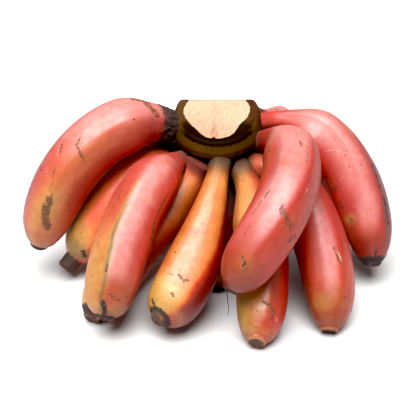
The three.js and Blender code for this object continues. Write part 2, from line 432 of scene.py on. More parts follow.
class Nodes:
    """A short way to build a material's node tree."""

    def __init__(self, name: str) -> None:
        """Starts a material with a Principled shader and its output.

        Args:
            name: the material's name.
        """
        self.material = bpy.data.materials.new(name)
        self.material.use_nodes = True
        self.tree = self.material.node_tree
        self.tree.nodes.clear()
        output = self.tree.nodes.new("ShaderNodeOutputMaterial")
        self.shader = self.tree.nodes.new("ShaderNodeBsdfPrincipled")
        self.tree.links.new(self.shader.outputs["BSDF"], output.inputs["Surface"])

    def feed(self, value: object, socket: Socket) -> None:
        """Links an output to a socket, or sets a plain value on it.

        Args:
            value: another node's output, or a plain value.
            socket: where it goes.
        """
        if isinstance(value, Socket):
            self.tree.links.new(value, socket)
        else:
            socket.default_value = value

    def add(self, kind: str, inputs: dict[int | str, object], **settings: object) -> bpy.types.Node:
        """Adds a node.

        Args:
            kind: Blender's name for the type of node.
            inputs: what goes into its sockets, another node's output or a plain value.
            settings: its properties.

        Returns:
            The new node.
        """
        node = self.tree.nodes.new(kind)
        for key, value in settings.items():
            setattr(node, key, value)
        for key, value in inputs.items():
            self.feed(value, node.inputs[key])
        return node

    def attribute(self, name: str, output: str = "Fac") -> Socket:
        """Reads a mesh attribute."""
        return self.add("ShaderNodeAttribute", {}, attribute_name=name).outputs[output]

    def maths(self, operation: str, a: object, b: object) -> Socket:
        """One arithmetic step on two values."""
        return self.add("ShaderNodeMath", {0: a, 1: b}, operation=operation).outputs[0]

    def vector_maths(self, operation: str, a: object, b: object) -> Socket:
        """One arithmetic step on two vectors."""
        return self.add("ShaderNodeVectorMath", {0: a, 1: b}, operation=operation).outputs[0]

    def step(self, value: object, low: float, high: float) -> Socket:
        """A smooth rise from 0 at low to 1 at high."""
        inputs = {"Value": value, "From Min": low, "From Max": high}
        return self.add("ShaderNodeMapRange", inputs, interpolation_type="SMOOTHSTEP").outputs["Result"]

    def ranged(self, value: object, span: Span, out: Span) -> Socket:
        """A straight run over span, brought to the numbers of out."""
        inputs = dict(zip(("Value", "From Min", "From Max", "To Min", "To Max"), (value, *span, *out)))
        return self.add("ShaderNodeMapRange", inputs).outputs["Result"]

    def frayed(self, layer: str, rag: Socket, depth: float) -> Socket:
        """A mesh attribute with noise added, so that its edges fray."""
        return self.maths("ADD", self.attribute(layer), self.ranged(rag, FRAY_SPAN, (-depth, depth)))

    def noise(self, where: object, grain: Grain) -> Socket:
        """Fractal noise at a place."""
        inputs = {"Vector": where, "Scale": grain.scale, "Detail": grain.detail, "Roughness": grain.rough}
        return self.add("ShaderNodeTexNoise", inputs).outputs["Fac"]

    def cells(self, where: object, scale: float) -> bpy.types.Node:
        """Scattered points, each in a cell of its own colour."""
        return self.add("ShaderNodeTexVoronoi", {"Vector": where, "Scale": scale}, feature="F1")

    def mix(self, share: object, a: object, b: object, blend: str = "MIX") -> Socket:
        """A mix of two colours."""
        inputs = {0: share, 6: a, 7: b}
        return self.add("ShaderNodeMix", inputs, data_type="RGBA", blend_type=blend).outputs[2]

    def tinted(self, colour: object, cast: object) -> Socket:
        """One colour multiplied by another."""
        return self.mix(1.0, colour, cast, "MULTIPLY")

    def bump(self, height: object, relief: Span, under: object = None) -> Socket:
        """A bump from a height, over another bump if one is given.

        Args:
            height: the height, from 0 to 1.
            relief: the bump's strength and its depth in metres.
            under: the bump under it.

        Returns:
            The bent normal.
        """
        inputs = {"Strength": relief[0], "Distance": relief[1], "Height": height}
        if under is not None:
            inputs["Normal"] = under
        return self.add("ShaderNodeBump", inputs).outputs["Normal"]


@dataclass(frozen=True)
class Coat:
    """A colour laid over the rest where a value rises from low to high."""

    colour: str
    strength: float
    low: float
    high: float

    def share(self, nodes: Nodes, value: Socket) -> Socket:
        """Where the coat lies, from 0 to 1."""
        return nodes.step(value, self.low, self.high)

    def laid(self, nodes: Nodes, share: Socket, under: Socket) -> Socket:
        """Lays the coat over another colour where share says."""
        return nodes.mix(nodes.maths("MULTIPLY", share, self.strength), under, paint(self.colour))

    def over(self, nodes: Nodes, value: Socket, under: Socket) -> Socket:
        """Lays the coat over another colour where the value rises."""
        return self.laid(nodes, self.share(nodes, value), under)


@dataclass(frozen=True)
class PlainFinish:
    """One even colour, for a dead thread or a floor."""

    colour: tuple[float, float, float, float]
    roughness: float
    specular: float = 0.5

    def build(self, name: str) -> bpy.types.Material:
        """Makes the material.

        Args:
            name: the material's name.

        Returns:
            The finished material.
        """
        nodes = Nodes(name)
        nodes.shader.inputs["Base Color"].default_value = self.colour
        nodes.shader.inputs["Roughness"].default_value = self.roughness
        nodes.shader.inputs["Specular IOR Level"].default_value = self.specular
        return nodes.material


@dataclass(frozen=True)
class PeelFinish:
    """Waxy red banana peel: mottled tone, lengthwise fibres, specks, scuffs, spots and a dry dark end."""

    seed: float
    seed_step: Triple = (1.0, 0.7, 1.3)
    clouds: Grain = Grain(38.0, 2.0)
    mottle: Grain = Grain(190.0, 4.0, 0.6)
    fibres: Grain = Grain(900.0, 3.0, 0.6)
    fibre_stretch: Triple = (1.0, 1.0, 0.07)
    rag: Grain = Grain(520.0, 4.0, 0.65)
    burn: Grain = Grain(700.0, 4.0)
    waves: Grain = Grain(90.0, 3.0)
    crinkles: Grain = Grain(900.0, 4.0, 0.7)
    cloud_span: Span = (0.5, 0.78)
    cloud_cast: str = "f6cdb4"
    warm_span: Span = (0.35, 0.7)
    warm_share: Span = (0.0, 0.45)
    warm_cast: str = "d89a80"
    fibre_span: Span = (0.3, 0.7)
    fibre_shade: Span = (0.9, 1.08)
    speck_cells: float = 120.0
    speck_share: float = 0.3
    speck_choice: float = 0.02
    speck_size: Span = (0.035, 0.125)
    speck: Coat = Coat("4c2010", 0.85, -0.012, 0.012)
    scuff_depth: float = 0.55
    scuff_limit: Span = (0.02, 0.2)
    scuff: Coat = Coat("48260f", 0.84, 0.35, 0.75)
    spot_depth: float = 0.26
    spot_rim: Coat = Coat("a0602c", 0.45, 0.15, 0.42)
    spot_heart: Coat = Coat("2c150c", 0.92, 0.42, 0.62)
    spot_pit: Span = (0.35, 0.6)
    scratch_depth: float = 0.3
    scratch: Coat = Coat("d9a483", 0.6, 0.4, 0.7)
    char_depth: float = 0.28
    char: Coat = Coat("0c0807", 0.95, 0.35, 0.7)
    ash: str = "251c16"
    scuff_wear: float = 0.6
    rough_span: Span = (0.3, 0.7)
    roughness: Span = (0.35, 0.47)
    worn_roughness: float = 0.3
    dull_roughness: float = 0.5
    wave_relief: Span = (0.25, 0.0008)
    fibre_relief: Span = (0.22, 0.0003)
    pit_relief: Span = (0.5, 0.0004)
    crinkle_relief: Span = (0.7, 0.0011)
    specular: float = 0.55
    glow: float = 0.06
    glow_depths: Triple = (0.004, 0.0012, 0.0006)

    def ground(self, nodes: Nodes, where: Socket, mottle: Socket, fibres: Socket) -> Socket:
        """The peel's own tone with pale clouds, warm mottle and fibres.

        Args:
            nodes: the material's nodes.
            where: the place on the peel, as if the fruit were straight.
            mottle: fine noise on the peel.
            fibres: noise drawn out along the fruit.

        Returns:
            The colour before any blemish.
        """
        tone = nodes.attribute("tone", "Color")
        clouds = nodes.step(nodes.noise(where, self.clouds), *self.cloud_span)
        colour = nodes.mix(clouds, tone, nodes.tinted(tone, paint(self.cloud_cast)))
        warmth = nodes.ranged(mottle, self.warm_span, self.warm_share)
        colour = nodes.mix(warmth, colour, nodes.tinted(colour, paint(self.warm_cast)))
        shade = nodes.ranged(fibres, self.fibre_span, self.fibre_shade)
        grey = nodes.add("ShaderNodeCombineColor", {0: shade, 1: shade, 2: shade})
        return nodes.tinted(colour, grey.outputs[0])

    def speckled(self, nodes: Nodes, where: Socket, colour: Socket) -> Socket:
        """Scatters small dark specks of many sizes.

        Args:
            nodes: the material's nodes.
            where: the place on the peel.
            colour: the colour under the specks.

        Returns:
            The colour with the specks on it.
        """
        cells = nodes.cells(where, self.speck_cells)
        lot = nodes.add("ShaderNodeSeparateColor", {0: cells.outputs["Color"]}).outputs[0]
        size = nodes.ranged(lot, (self.speck_share, 1.0), self.speck_size)
        within = nodes.maths("SUBTRACT", size, cells.outputs["Distance"])
        chosen = nodes.step(lot, self.speck_share, self.speck_share + self.speck_choice)
        speck = nodes.maths("MULTIPLY", self.speck.share(nodes, within), chosen)
        return self.speck.laid(nodes, speck, colour)

    def relief(self, nodes: Nodes, where: Socket, fibres: Socket, pits: Socket, charred: Socket) -> Socket:
        """The peel's fine relief.

        Args:
            nodes: the material's nodes.
            where: the place on the peel.
            fibres: noise drawn out along the fruit.
            pits: how far spots and worn places sink in.
            charred: how far the peel is dried to a crust.

        Returns:
            The bent normal.
        """
        wavy = nodes.bump(nodes.noise(where, self.waves), self.wave_relief)
        fibrous = nodes.bump(fibres, self.fibre_relief, wavy)
        pitted = nodes.bump(nodes.maths("MULTIPLY", pits, -1.0), self.pit_relief, fibrous)
        crinkles = nodes.maths("MULTIPLY", charred, nodes.noise(where, self.crinkles))
        return nodes.bump(crinkles, self.crinkle_relief, pitted)

    def build(self, name: str) -> bpy.types.Material:
        """Makes the material.

        Args:
            name: the material's name.

        Returns:
            The finished peel.
        """
        nodes = Nodes(name)
        shift = tuple(self.seed * step for step in self.seed_step)
        where = nodes.vector_maths("ADD", nodes.attribute("straight", "Vector"), shift)
        mottle = nodes.noise(where, self.mottle)
        fibres = nodes.noise(nodes.vector_maths("MULTIPLY", where, self.fibre_stretch), self.fibres)
        rag = nodes.noise(where, self.rag)
        scuffed = nodes.maths(
            "MULTIPLY",
            self.scuff.share(nodes, nodes.frayed("scuff", rag, self.scuff_depth)),
            nodes.step(nodes.attribute("scuff"), *self.scuff_limit),
        )
        spots = nodes.frayed("spot", rag, self.spot_depth)
        charred = self.char.share(nodes, nodes.frayed("char", rag, self.char_depth))
        burnt = nodes.mix(nodes.noise(where, self.burn), paint(self.char.colour), paint(self.ash))
        colour = self.speckled(nodes, where, self.ground(nodes, where, mottle, fibres))
        colour = self.scuff.laid(nodes, scuffed, colour)
        colour = self.spot_rim.over(nodes, spots, colour)
        colour = self.spot_heart.over(nodes, spots, colour)
        colour = self.scratch.over(nodes, nodes.frayed("pale", rag, self.scratch_depth), colour)
        colour = nodes.mix(nodes.maths("MULTIPLY", charred, self.char.strength), colour, burnt)
        worn = nodes.maths("MAXIMUM", charred, nodes.maths("MULTIPLY", scuffed, self.scuff_wear))
        pits = nodes.maths("MAXIMUM", nodes.step(spots, *self.spot_pit), worn)
        rough = nodes.ranged(mottle, self.rough_span, self.roughness)
        rough = nodes.maths("ADD", rough, nodes.maths("MULTIPLY", worn, self.worn_roughness))
        dull = nodes.maths("MULTIPLY", nodes.attribute("dull"), self.dull_roughness)
        shader = nodes.shader
        nodes.feed(colour, shader.inputs["Base Color"])
        nodes.feed(nodes.maths("ADD", rough, dull), shader.inputs["Roughness"])
        nodes.feed(self.relief(nodes, where, fibres, pits, charred), shader.inputs["Normal"])
        shader.inputs["Specular IOR Level"].default_value = self.specular
        shader.inputs["Subsurface Weight"].default_value = self.glow
        shader.inputs["Subsurface Radius"].default_value = self.glow_depths
        shader.inputs["Subsurface Scale"].default_value = 1.0
        return nodes.material


@dataclass(frozen=True)
class StalkFinish:
    """Cut banana stalk: a fibrous olive-brown rind round moist cream pith, with painted shade near black on
    the wall under the lip.
    """

    rag: Grain = Grain(420.0, 4.0, 0.6)
    patches: Grain = Grain(60.0, 3.0)
    fibres: Grain = Grain(120.0, 4.0, 0.6)
    fibre_stretch: Triple = (1.0, 1.0, 0.05)
    rays: Grain = Grain(1.0, 4.0, 0.65)
    patch_span: Span = (0.35, 0.65)
    dark_rind: str = "3a240e"
    light_rind: str = "4c3414"
    rag_span: Span = (0.3, 0.7)
    olive_share: Span = (0.5, 1.0)
    olive: str = "4a3418"
    fibre: Coat = Coat("1e1008", 0.45, 0.5, 0.75)
    brown_strength: float = 0.75
    brown: str = "3c1c10"
    scorch_depth: float = 0.25
    # Near black over the rim attribute: the dark cut edge of the rind, and painted shade on the wall under
    # the lip.
    scorch_and_shade: Coat = Coat("120702", 0.94, 0.2, 0.9)
    ray_span: Span = (0.3, 0.75)
    cream: str = "b3a48a"
    ray: str = "9c7c62"
    stain_share: Span = (0.4, 1.0)
    stain: str = "94604a"
    pore_cells: float = 420.0
    pore: Coat = Coat("8f6248", 0.18, 0.28, 0.12)
    pith_depth: float = 0.2
    pith_edge: Span = (0.42, 0.58)
    roughness: Span = (0.55, 0.62)
    rag_height: float = 0.5
    fibre_relief: Span = (0.6, 0.0007)
    ray_relief: Span = (0.5, 0.0005)
    specular: float = 0.05

    def rind_colour(self, nodes: Nodes, where: Socket, rag: Socket, fibres: Socket) -> Socket:
        """The rind's colour, with its dark cut edge and the painted shade under the lip.

        Args:
            nodes: the material's nodes.
            where: the place on the stalk.
            rag: noise that frays the edges of colour.
            fibres: noise drawn out along the stalk.

        Returns:
            The colour.
        """
        patches = nodes.step(nodes.noise(where, self.patches), *self.patch_span)
        colour = nodes.mix(patches, paint(self.dark_rind), paint(self.light_rind))
        frayed = nodes.ranged(rag, self.rag_span, self.olive_share)
        green = nodes.maths("MULTIPLY", nodes.attribute("green"), frayed)
        colour = nodes.mix(green, colour, paint(self.olive))
        colour = self.fibre.over(nodes, fibres, colour)
        brown = nodes.maths("MULTIPLY", nodes.attribute("brown"), self.brown_strength)
        colour = nodes.mix(brown, colour, paint(self.brown))
        return self.scorch_and_shade.over(nodes, nodes.frayed("rim", rag, self.scorch_depth), colour)

    def pith_colour(self, nodes: Nodes, where: Socket, rag: Socket, rays: Socket) -> Socket:
        """The cut pith's colour.

        Args:
            nodes: the material's nodes.
            where: the place on the stalk.
            rag: noise that frays the edges of colour.
            rays: noise drawn out across the cut.

        Returns:
            The colour.
        """
        colour = nodes.mix(nodes.ranged(rays, self.ray_span, (0.0, 1.0)), paint(self.cream), paint(self.ray))
        frayed = nodes.ranged(rag, self.rag_span, self.stain_share)
        stained = nodes.maths("MULTIPLY", nodes.attribute("stain"), frayed)
        colour = nodes.mix(stained, colour, paint(self.stain))
        return self.pore.over(nodes, nodes.cells(where, self.pore_cells).outputs["Distance"], colour)

    def build(self, name: str) -> bpy.types.Material:
        """Makes the material.

        Args:
            name: the material's name.

        Returns:
            The finished rind and pith.
        """
        nodes = Nodes(name)
        where = nodes.attribute("straight", "Vector")
        rag = nodes.noise(where, self.rag)
        drawn_out = nodes.vector_maths("MULTIPLY", nodes.attribute("polar", "Vector"), self.fibre_stretch)
        fibres = nodes.noise(drawn_out, self.fibres)
        rays = nodes.noise(nodes.attribute("rays", "Vector"), self.rays)
        inside = nodes.step(nodes.frayed("pith", rag, self.pith_depth), *self.pith_edge)
        rind = self.rind_colour(nodes, where, rag, fibres)
        pith = self.pith_colour(nodes, where, rag, rays)
        height = nodes.maths("ADD", fibres, nodes.maths("MULTIPLY", rag, self.rag_height))
        fibrous = nodes.bump(height, self.fibre_relief)
        rayed = nodes.bump(nodes.maths("MULTIPLY", rays, inside), self.ray_relief, fibrous)
        shader = nodes.shader
        nodes.feed(nodes.mix(inside, rind, pith), shader.inputs["Base Color"])
        nodes.feed(nodes.ranged(inside, (0.0, 1.0), self.roughness), shader.inputs["Roughness"])
        nodes.feed(rayed, shader.inputs["Normal"])
        shader.inputs["Specular IOR Level"].default_value = self.specular
        return nodes.material


def placed(name: str, data: bpy.types.ID) -> bpy.types.Object:
    """Puts a mesh, a light or a camera into the scene.

    Args:
        name: the new object's name.
        data: what it shows.

    Returns:
        The new object.
    """
    thing = bpy.data.objects.new(name, data)
    bpy.context.scene.collection.objects.link(thing)
    return thing


def mesh_object(name: str, points: np.ndarray, faces: list[tuple], layers: Arrays) -> bpy.types.Object:
    """A smooth mesh piece with vertex attributes.

    Args:
        name: the piece's name.
        points: its vertices, in millimetres.
        faces: its faces, as vertex numbers.
        layers: attribute values by name: one column is a number, three a vector, four a colour.

    Returns:
        The new object, linked to the scene.
    """
    kinds = {1: ("FLOAT", "value"), 3: ("FLOAT_VECTOR", "vector"), 4: ("FLOAT_COLOR", "color")}
    mesh = bpy.data.meshes.new(name)
    mesh.from_pydata((points * MM).tolist(), [], faces)
    for layer, values in layers.items():
        kind, field = kinds[1 if values.ndim == 1 else values.shape[1]]
        attribute = mesh.attributes.new(layer, kind, "POINT")
        attribute.data.foreach_set(field, values.astype(np.float32).ravel())
    mesh.shade_smooth()
    mesh.validate()
    return placed(name, mesh)


def tube_faces(rings: int, columns: int) -> list[tuple]:
    """Faces of a closed tube of rings, with a middle point before the first ring and after the last.

    Args:
        rings: how many rings there are.
        columns: how many vertices each ring has.

    Returns:
        The faces, as vertex numbers.
    """
    faces = [(0, 1 + (column + 1) % columns, 1 + column) for column in range(columns)]
    for ring in range(rings - 1):
        base = 1 + ring * columns
        for column in range(columns):
            after = (column + 1) % columns
            faces.append((base + column, base + after, base + columns + after, base + columns + column))
    base = 1 + (rings - 1) * columns
    last = 1 + rings * columns
    faces.extend((base + column, base + (column + 1) % columns, last) for column in range(columns))
    return faces


def capped(values: np.ndarray, last: int = -1) -> np.ndarray:
    """Vertex values with the first one and the one at last repeated for the two end points."""
    return np.concatenate([values[:1], values, values[last][None]])


@dataclass(frozen=True)
class DryTip:
    """How the peel turns to the dry stub at its tip.

    Rings and the pale rim are a distance from the tip and a width, in millimetres. Edges and bare_hub are
    shares of the stub's radius, and char_span shares of the dark end.
    """

    olive_ring: Span = (4.0, 3.0)
    tan_ring: Span = (0.5, 0.8)
    ink_edge: float = 0.09
    ink_growth: float = 0.06
    ink_strength: float = 0.95
    growth_edge: Span = (0.1, 0.2)
    growth_sharpness: int = 3
    growth_strength: float = 0.28
    char_span: Span = (0.55, 1.3)
    char_strength: float = 0.85
    bare_hub: Span = (0.9, 0.97)
    pale_rim: Span = (0.4, 0.9)
    pale_rim_gain: float = 2.5


TIP = DryTip()


@dataclass
class Fruit:
    """One banana: its shape, the tones of its peel and its blemishes.

    neck is the neck's tone, strength and reach, dark_end the length of the dry end, tip_tan and tip_olive
    the strengths of its rings, and root_shade the strength of the painted shade laid where the peel runs
    under the stalk. sunk is how far the fruit runs into the stalk, domed how round it ends there, lobe the
    height and turn of the bulge where a neighbour presses, swell how much fuller the neck is, and withered
    how shrivelled.
    Each row of wander is a swerve of the colours' edges in degrees, its waves along and round the fruit, and
    its shift.
    """

    name: str
    slot: str
    base: Tone
    bands: tuple[Band, ...] = ()
    tints: tuple[Tint, ...] = ()
    marks: tuple[Mark, ...] = ()
    seed: float = 0.0
    neck: tuple[Tone, float, float] = (Tone.STEM, 0.8, 0.11)
    dark_end: float = 2.0
    tip_tan: float = 0.5
    tip_olive: float = 0.35
    root_shade: float = 0.9
    dull: float = 0.0
    sunk: float = 9.0
    domed: float = 0.0
    lobe: Span = (0.0, 0.0)
    swell: float = 2.0
    swell_end: float = 0.2
    withered: float = 0.0
    neck_start: float = 0.3
    root_span: Span = (0.0, 0.08)
    dull_span: Span = (0.04, 0.12)
    columns: int = 144
    body_rings: int = 136
    tip_rings: int = 34
    tip_zone: float = 12.0
    cap_rings: int = 19
    cap_span: Span = (0.95, 0.05)
    ring_lift: float = 0.3
    hub_lift: float = 0.3
    cap_dip: float = 0.5
    cap_dip_span: Span = (0.1, 0.4)
    cap_rise: float = 0.2
    swell_start: float = 0.04
    buried_limit: float = 0.98
    lobe_rise: Span = (0.06, 0.22)
    lobe_fall: Span = (0.74, 0.9)
    wave_size: Span = (17, 24)
    wave_height: float = 0.35
    wave_start: float = 0.15
    ragged_size: Span = (1.6, 2.5)
    ragged_zone: Span = (7, 1)
    ragged_height: float = 0.35
    ragged_reach: float = 0.3
    withered_span: Span = (0.08, 0.17)
    withered_char: Span = (0.09, 0.19)
    withered_height: float = 1.9
    press_reach: float = 26
    press_rounds: int = 4
    press_slack: float = 1.9
    press_limit: float = 0.5
    wander: tuple[tuple[float, float, float, float], ...] = (
        (2.0, 17, 0, 2.1),
        (0.9, 43, 2, 1),
        (0.6, 91, 5, 3),
    )

    @property
    def form(self) -> Form:
        """The fruit's shape."""
        return FORMS[self.name]

    def shares(self) -> np.ndarray:
        """The places of the rings along the fruit, closer together near the tip.

        Returns:
            The share of the fruit's length at each ring.
        """
        zone = (self.tip_zone + self.form.stub) / self.form.length
        body = np.linspace(-self.sunk / self.form.length, 1 - zone, self.body_rings, endpoint=False)
        return np.concatenate([body, 1 - (1 - np.linspace(0, 1, self.tip_rings)) * zone])

    @cached_property
    def grid(self) -> Arrays:
        """The peel's rings and the cap at the tip as flat arrays.

        Returns:
            share, turn, radius, lift and hub for every vertex, first ring to last. lift is the cap's
            relief and hub the distance from the cap's middle, 1 at its rim.
        """
        turns = np.arange(self.columns) * 2 * math.pi / self.columns - math.pi
        shares = self.shares()
        radius = self.form.radius(shares)
        cap = np.linspace(*self.cap_span, self.cap_rings)
        rings = self.ring_lift * np.cos(cap * math.tau * GROWTH_RINGS)
        lift = rings - self.cap_dip * smoothstep(1 - cap, *self.cap_dip_span) + self.cap_rise
        columns = {
            "share": np.concatenate([shares, np.ones(len(cap))]),
            "radius": np.concatenate([radius, radius[-1] * cap]),
            "lift": np.concatenate([np.zeros(len(shares)), lift]),
            "hub": np.concatenate([np.ones(len(shares)), cap]),
        }
        grid = {key: np.outer(values, np.ones(self.columns)).ravel() for key, values in columns.items()}
        grid["turn"] = np.tile(turns, len(columns["share"]))
        return grid

    def crumple(self, radius: np.ndarray, size: Span) -> np.ndarray:
        """Noise over the skin.

        Args:
            radius: the skin's radius.
            size: millimetres round and along the fruit over which it changes.

        Returns:
            A number from -1 to 1 for every vertex.
        """
        length = self.form.length
        return np.array([
            noise.noise(Vector((
                math.sin(a) * r / size[0] + self.seed, math.cos(a) * r / size[0], s * length / size[1]
            )))
            for a, r, s in zip(self.grid["turn"], radius, self.grid["share"])
        ])

    def swollen(self, radius: np.ndarray) -> np.ndarray:
        """Fills the neck and the side where a neighbour presses, and rounds the buried end.

        Args:
            radius: the radius with its ridges.

        Returns:
            The new radius.
        """
        share = self.grid["share"]
        radius = radius + self.swell * (1 - smoothstep(share, self.swell_start, self.swell_end))
        buried = np.clip(-share * self.form.length / self.sunk, 0, self.buried_limit)
        radius = radius * (1 - self.domed * (1 - np.sqrt(1 - buried**2)))
        height, middle = self.lobe
        side = np.maximum(np.cos(self.grid["turn"] - math.radians(middle)), 0)
        side = side * smoothstep(share, *self.lobe_rise)
        return radius + height * side * (1 - smoothstep(share, *self.lobe_fall))

    def points(self) -> np.ndarray:
        """Bends the straight body along its spine, presses it against its neighbours and the floor.

        Returns:
            Every vertex's place, in millimetres.
        """
        form, grid = self.form, self.grid
        share, turn = grid["share"], grid["turn"]
        ridges = RIDGE_DEPTH * (1 - form.ridge(turn)) * (1 - smoothstep(share, *RIDGE_FADE))
        radius = grid["radius"] * (1 - ridges)
        wave = self.crumple(radius, self.wave_size)
        ragged = self.crumple(radius, self.ragged_size)
        start, end = self.ragged_zone
        near_tip = smoothstep(share * form.length, form.length - start, form.length - end)
        shrunk = self.withered * (1 - smoothstep(share, *self.withered_span))
        rough = ragged * (self.ragged_height * near_tip + self.withered_height * shrunk)
        waves = self.wave_height * wave * smoothstep(share, 0.0, self.wave_start)
        radius = self.swollen(radius) + waves + rough
        along, across, back = form.directions(np.maximum(share, 0))
        points = form.centre(share, form.spine(FINE_STEPS))
        points = points + across * (radius * np.sin(turn))[:, None] + back * (radius * np.cos(turn))[:, None]
        points = points + along * (grid["lift"] + self.ragged_reach * ragged * near_tip)[:, None]
        self.press(points, share)
        points[:, 2] = np.maximum(points[:, 2], 0.0)
        return points

    def press(self, points: np.ndarray, share: np.ndarray) -> None:
        """Moves skin points back to the flats where neighbours press on this fruit.

        Args:
            points: the places of the skin's vertices, changed here.
            share: their shares along the fruit.
        """
        clearance = NECK_CLEARANCE + (CLEARANCE - NECK_CLEARANCE) * smoothstep(share, 0, NECK_SHARE)
        for other, their in FORMS.items():
            if other == self.name:
                continue
            spread = SPINES[other]
            low, high = spread.min(0) - self.press_reach, spread.max(0) + self.press_reach
            chosen = np.flatnonzero(np.all((points > low) & (points < high), axis=1) & (share > 0))
            for _ in range(self.press_rounds):
                if not len(chosen):
                    break
                theirs, _ = their.skin_distance(points[chosen], spread)
                close = theirs <= clearance[chosen]
                chosen, theirs = chosen[close], theirs[close]
                own, centres = self.form.skin_distance(points[chosen], SPINES[self.name])
                excess = clearance[chosen] - (theirs - own)
                kept = excess > 0
                chosen, centres, excess = chosen[kept], centres[kept], excess[kept]
                gap = np.linalg.norm(points[chosen] - centres, axis=1)
                part = np.minimum(excess / self.press_slack / gap, self.press_limit)[:, None]
                points[chosen] += (centres - points[chosen]) * part

    def tones(self) -> np.ndarray:
        """The peel's colour: its tone with bands, tints, neck and end laid over, among them painted shade
        and painted highlight.

        Returns:
            Red, green, blue and 1 for every vertex.
        """
        share, hub = self.grid["share"], self.grid["hub"]
        turn = np.degrees(self.grid["turn"])
        for swerve, along, around, shift in self.wander:
            waves = share * along + self.grid["turn"] * around + self.seed * shift
            turn = turn + swerve * np.sin(waves)
        tone, strength, reach = self.neck
        to_tip = self.form.length * (1 - share)
        ink = TIP.ink_edge + TIP.ink_growth * self.tip_tan
        growth = ((1 + np.cos(hub * math.tau * GROWTH_RINGS)) / 2) ** TIP.growth_sharpness
        coats = [(band.tone, band.weight(share, turn)) for band in self.bands]
        coats += [(tint.tone, tint.weight(share, turn)) for tint in self.tints]
        coats += [
            (tone, (1 - smoothstep(share, reach * self.neck_start, reach)) * strength),
            # Painted shade: near black where the neck runs under the stalk.
            (Tone.SHADE, (1 - smoothstep(share, *self.root_span)) * self.root_shade),
            (Tone.OLIVE, self.tip_olive * bell(to_tip - self.dark_end, *TIP.olive_ring)),
            (Tone.TAN, self.tip_tan * bell(to_tip, *TIP.tan_ring)),
            (Tone.INK, smoothstep(1 - hub, 0.0, ink) * TIP.ink_strength),
            (Tone.TAN, smoothstep(1 - hub, *TIP.growth_edge) * growth * TIP.growth_strength),
        ]
        colour = np.tile(linear(self.base.value), (len(share), 1))
        for tone, weight in coats:
            colour += (linear(tone.value) - colour) * weight[:, None]
        return np.hstack([colour, np.ones((len(share), 1))])

    def layers(self) -> Arrays:
        """The attributes that the peel's finish reads.

        Returns:
            Values by attribute name.
        """
        grid = self.grid
        share, turn, radius = grid["share"], grid["turn"], grid["radius"]
        length = self.form.length
        layers = {kind.value: np.zeros(len(share)) for kind in MarkKind}
        for mark in self.marks:
            layer = mark.kind.value
            layers[layer] = np.maximum(layers[layer], mark.weight(grid, length))
        to_tip = length - share * length
        start, end = (self.dark_end * share_of for share_of in TIP.char_span)
        pale_rim = bell(to_tip, *TIP.pale_rim) * min(1, self.tip_tan * TIP.pale_rim_gain)
        dried = (1 - smoothstep(to_tip, start, end)) * smoothstep(grid["hub"], *TIP.bare_hub)
        dried = dried * (1 - pale_rim) * TIP.char_strength
        dead = self.withered * (1 - smoothstep(share, *self.withered_char))
        layers["char"] = np.maximum(np.maximum(layers["char"], dried), dead)
        layers["dull"] = np.maximum(1 - smoothstep(share, *self.dull_span), self.dull)
        layers["tone"] = self.tones()
        straight = np.stack([radius * np.sin(turn), radius * np.cos(turn), share * length], -1)
        layers["straight"] = straight * MM
        return layers

    def build(self) -> bpy.types.Object:
        """Makes the fruit's mesh, dresses it and places it in the frame.

        Returns:
            The finished piece.
        """
        form = self.form
        spine = form.spine(FINE_STEPS)
        first = form.centre(self.shares()[:1], spine)
        last = spine[-1:] + form.directions(np.array([1.0]))[0] * self.hub_lift
        last[:, 2] = np.maximum(last[:, 2], 0.0)
        points = np.vstack([first, self.points(), last])
        layers = {key: capped(values) for key, values in self.layers().items()}
        faces = tube_faces(self.body_rings + self.tip_rings + self.cap_rings, self.columns)
        piece = mesh_object(f"{self.name}_peel", points, faces, layers)
        piece.data.materials.append(PeelFinish(self.seed).build(f"peel_{self.name}"))
        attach(piece, "root")
        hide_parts(self.name)
        return piece


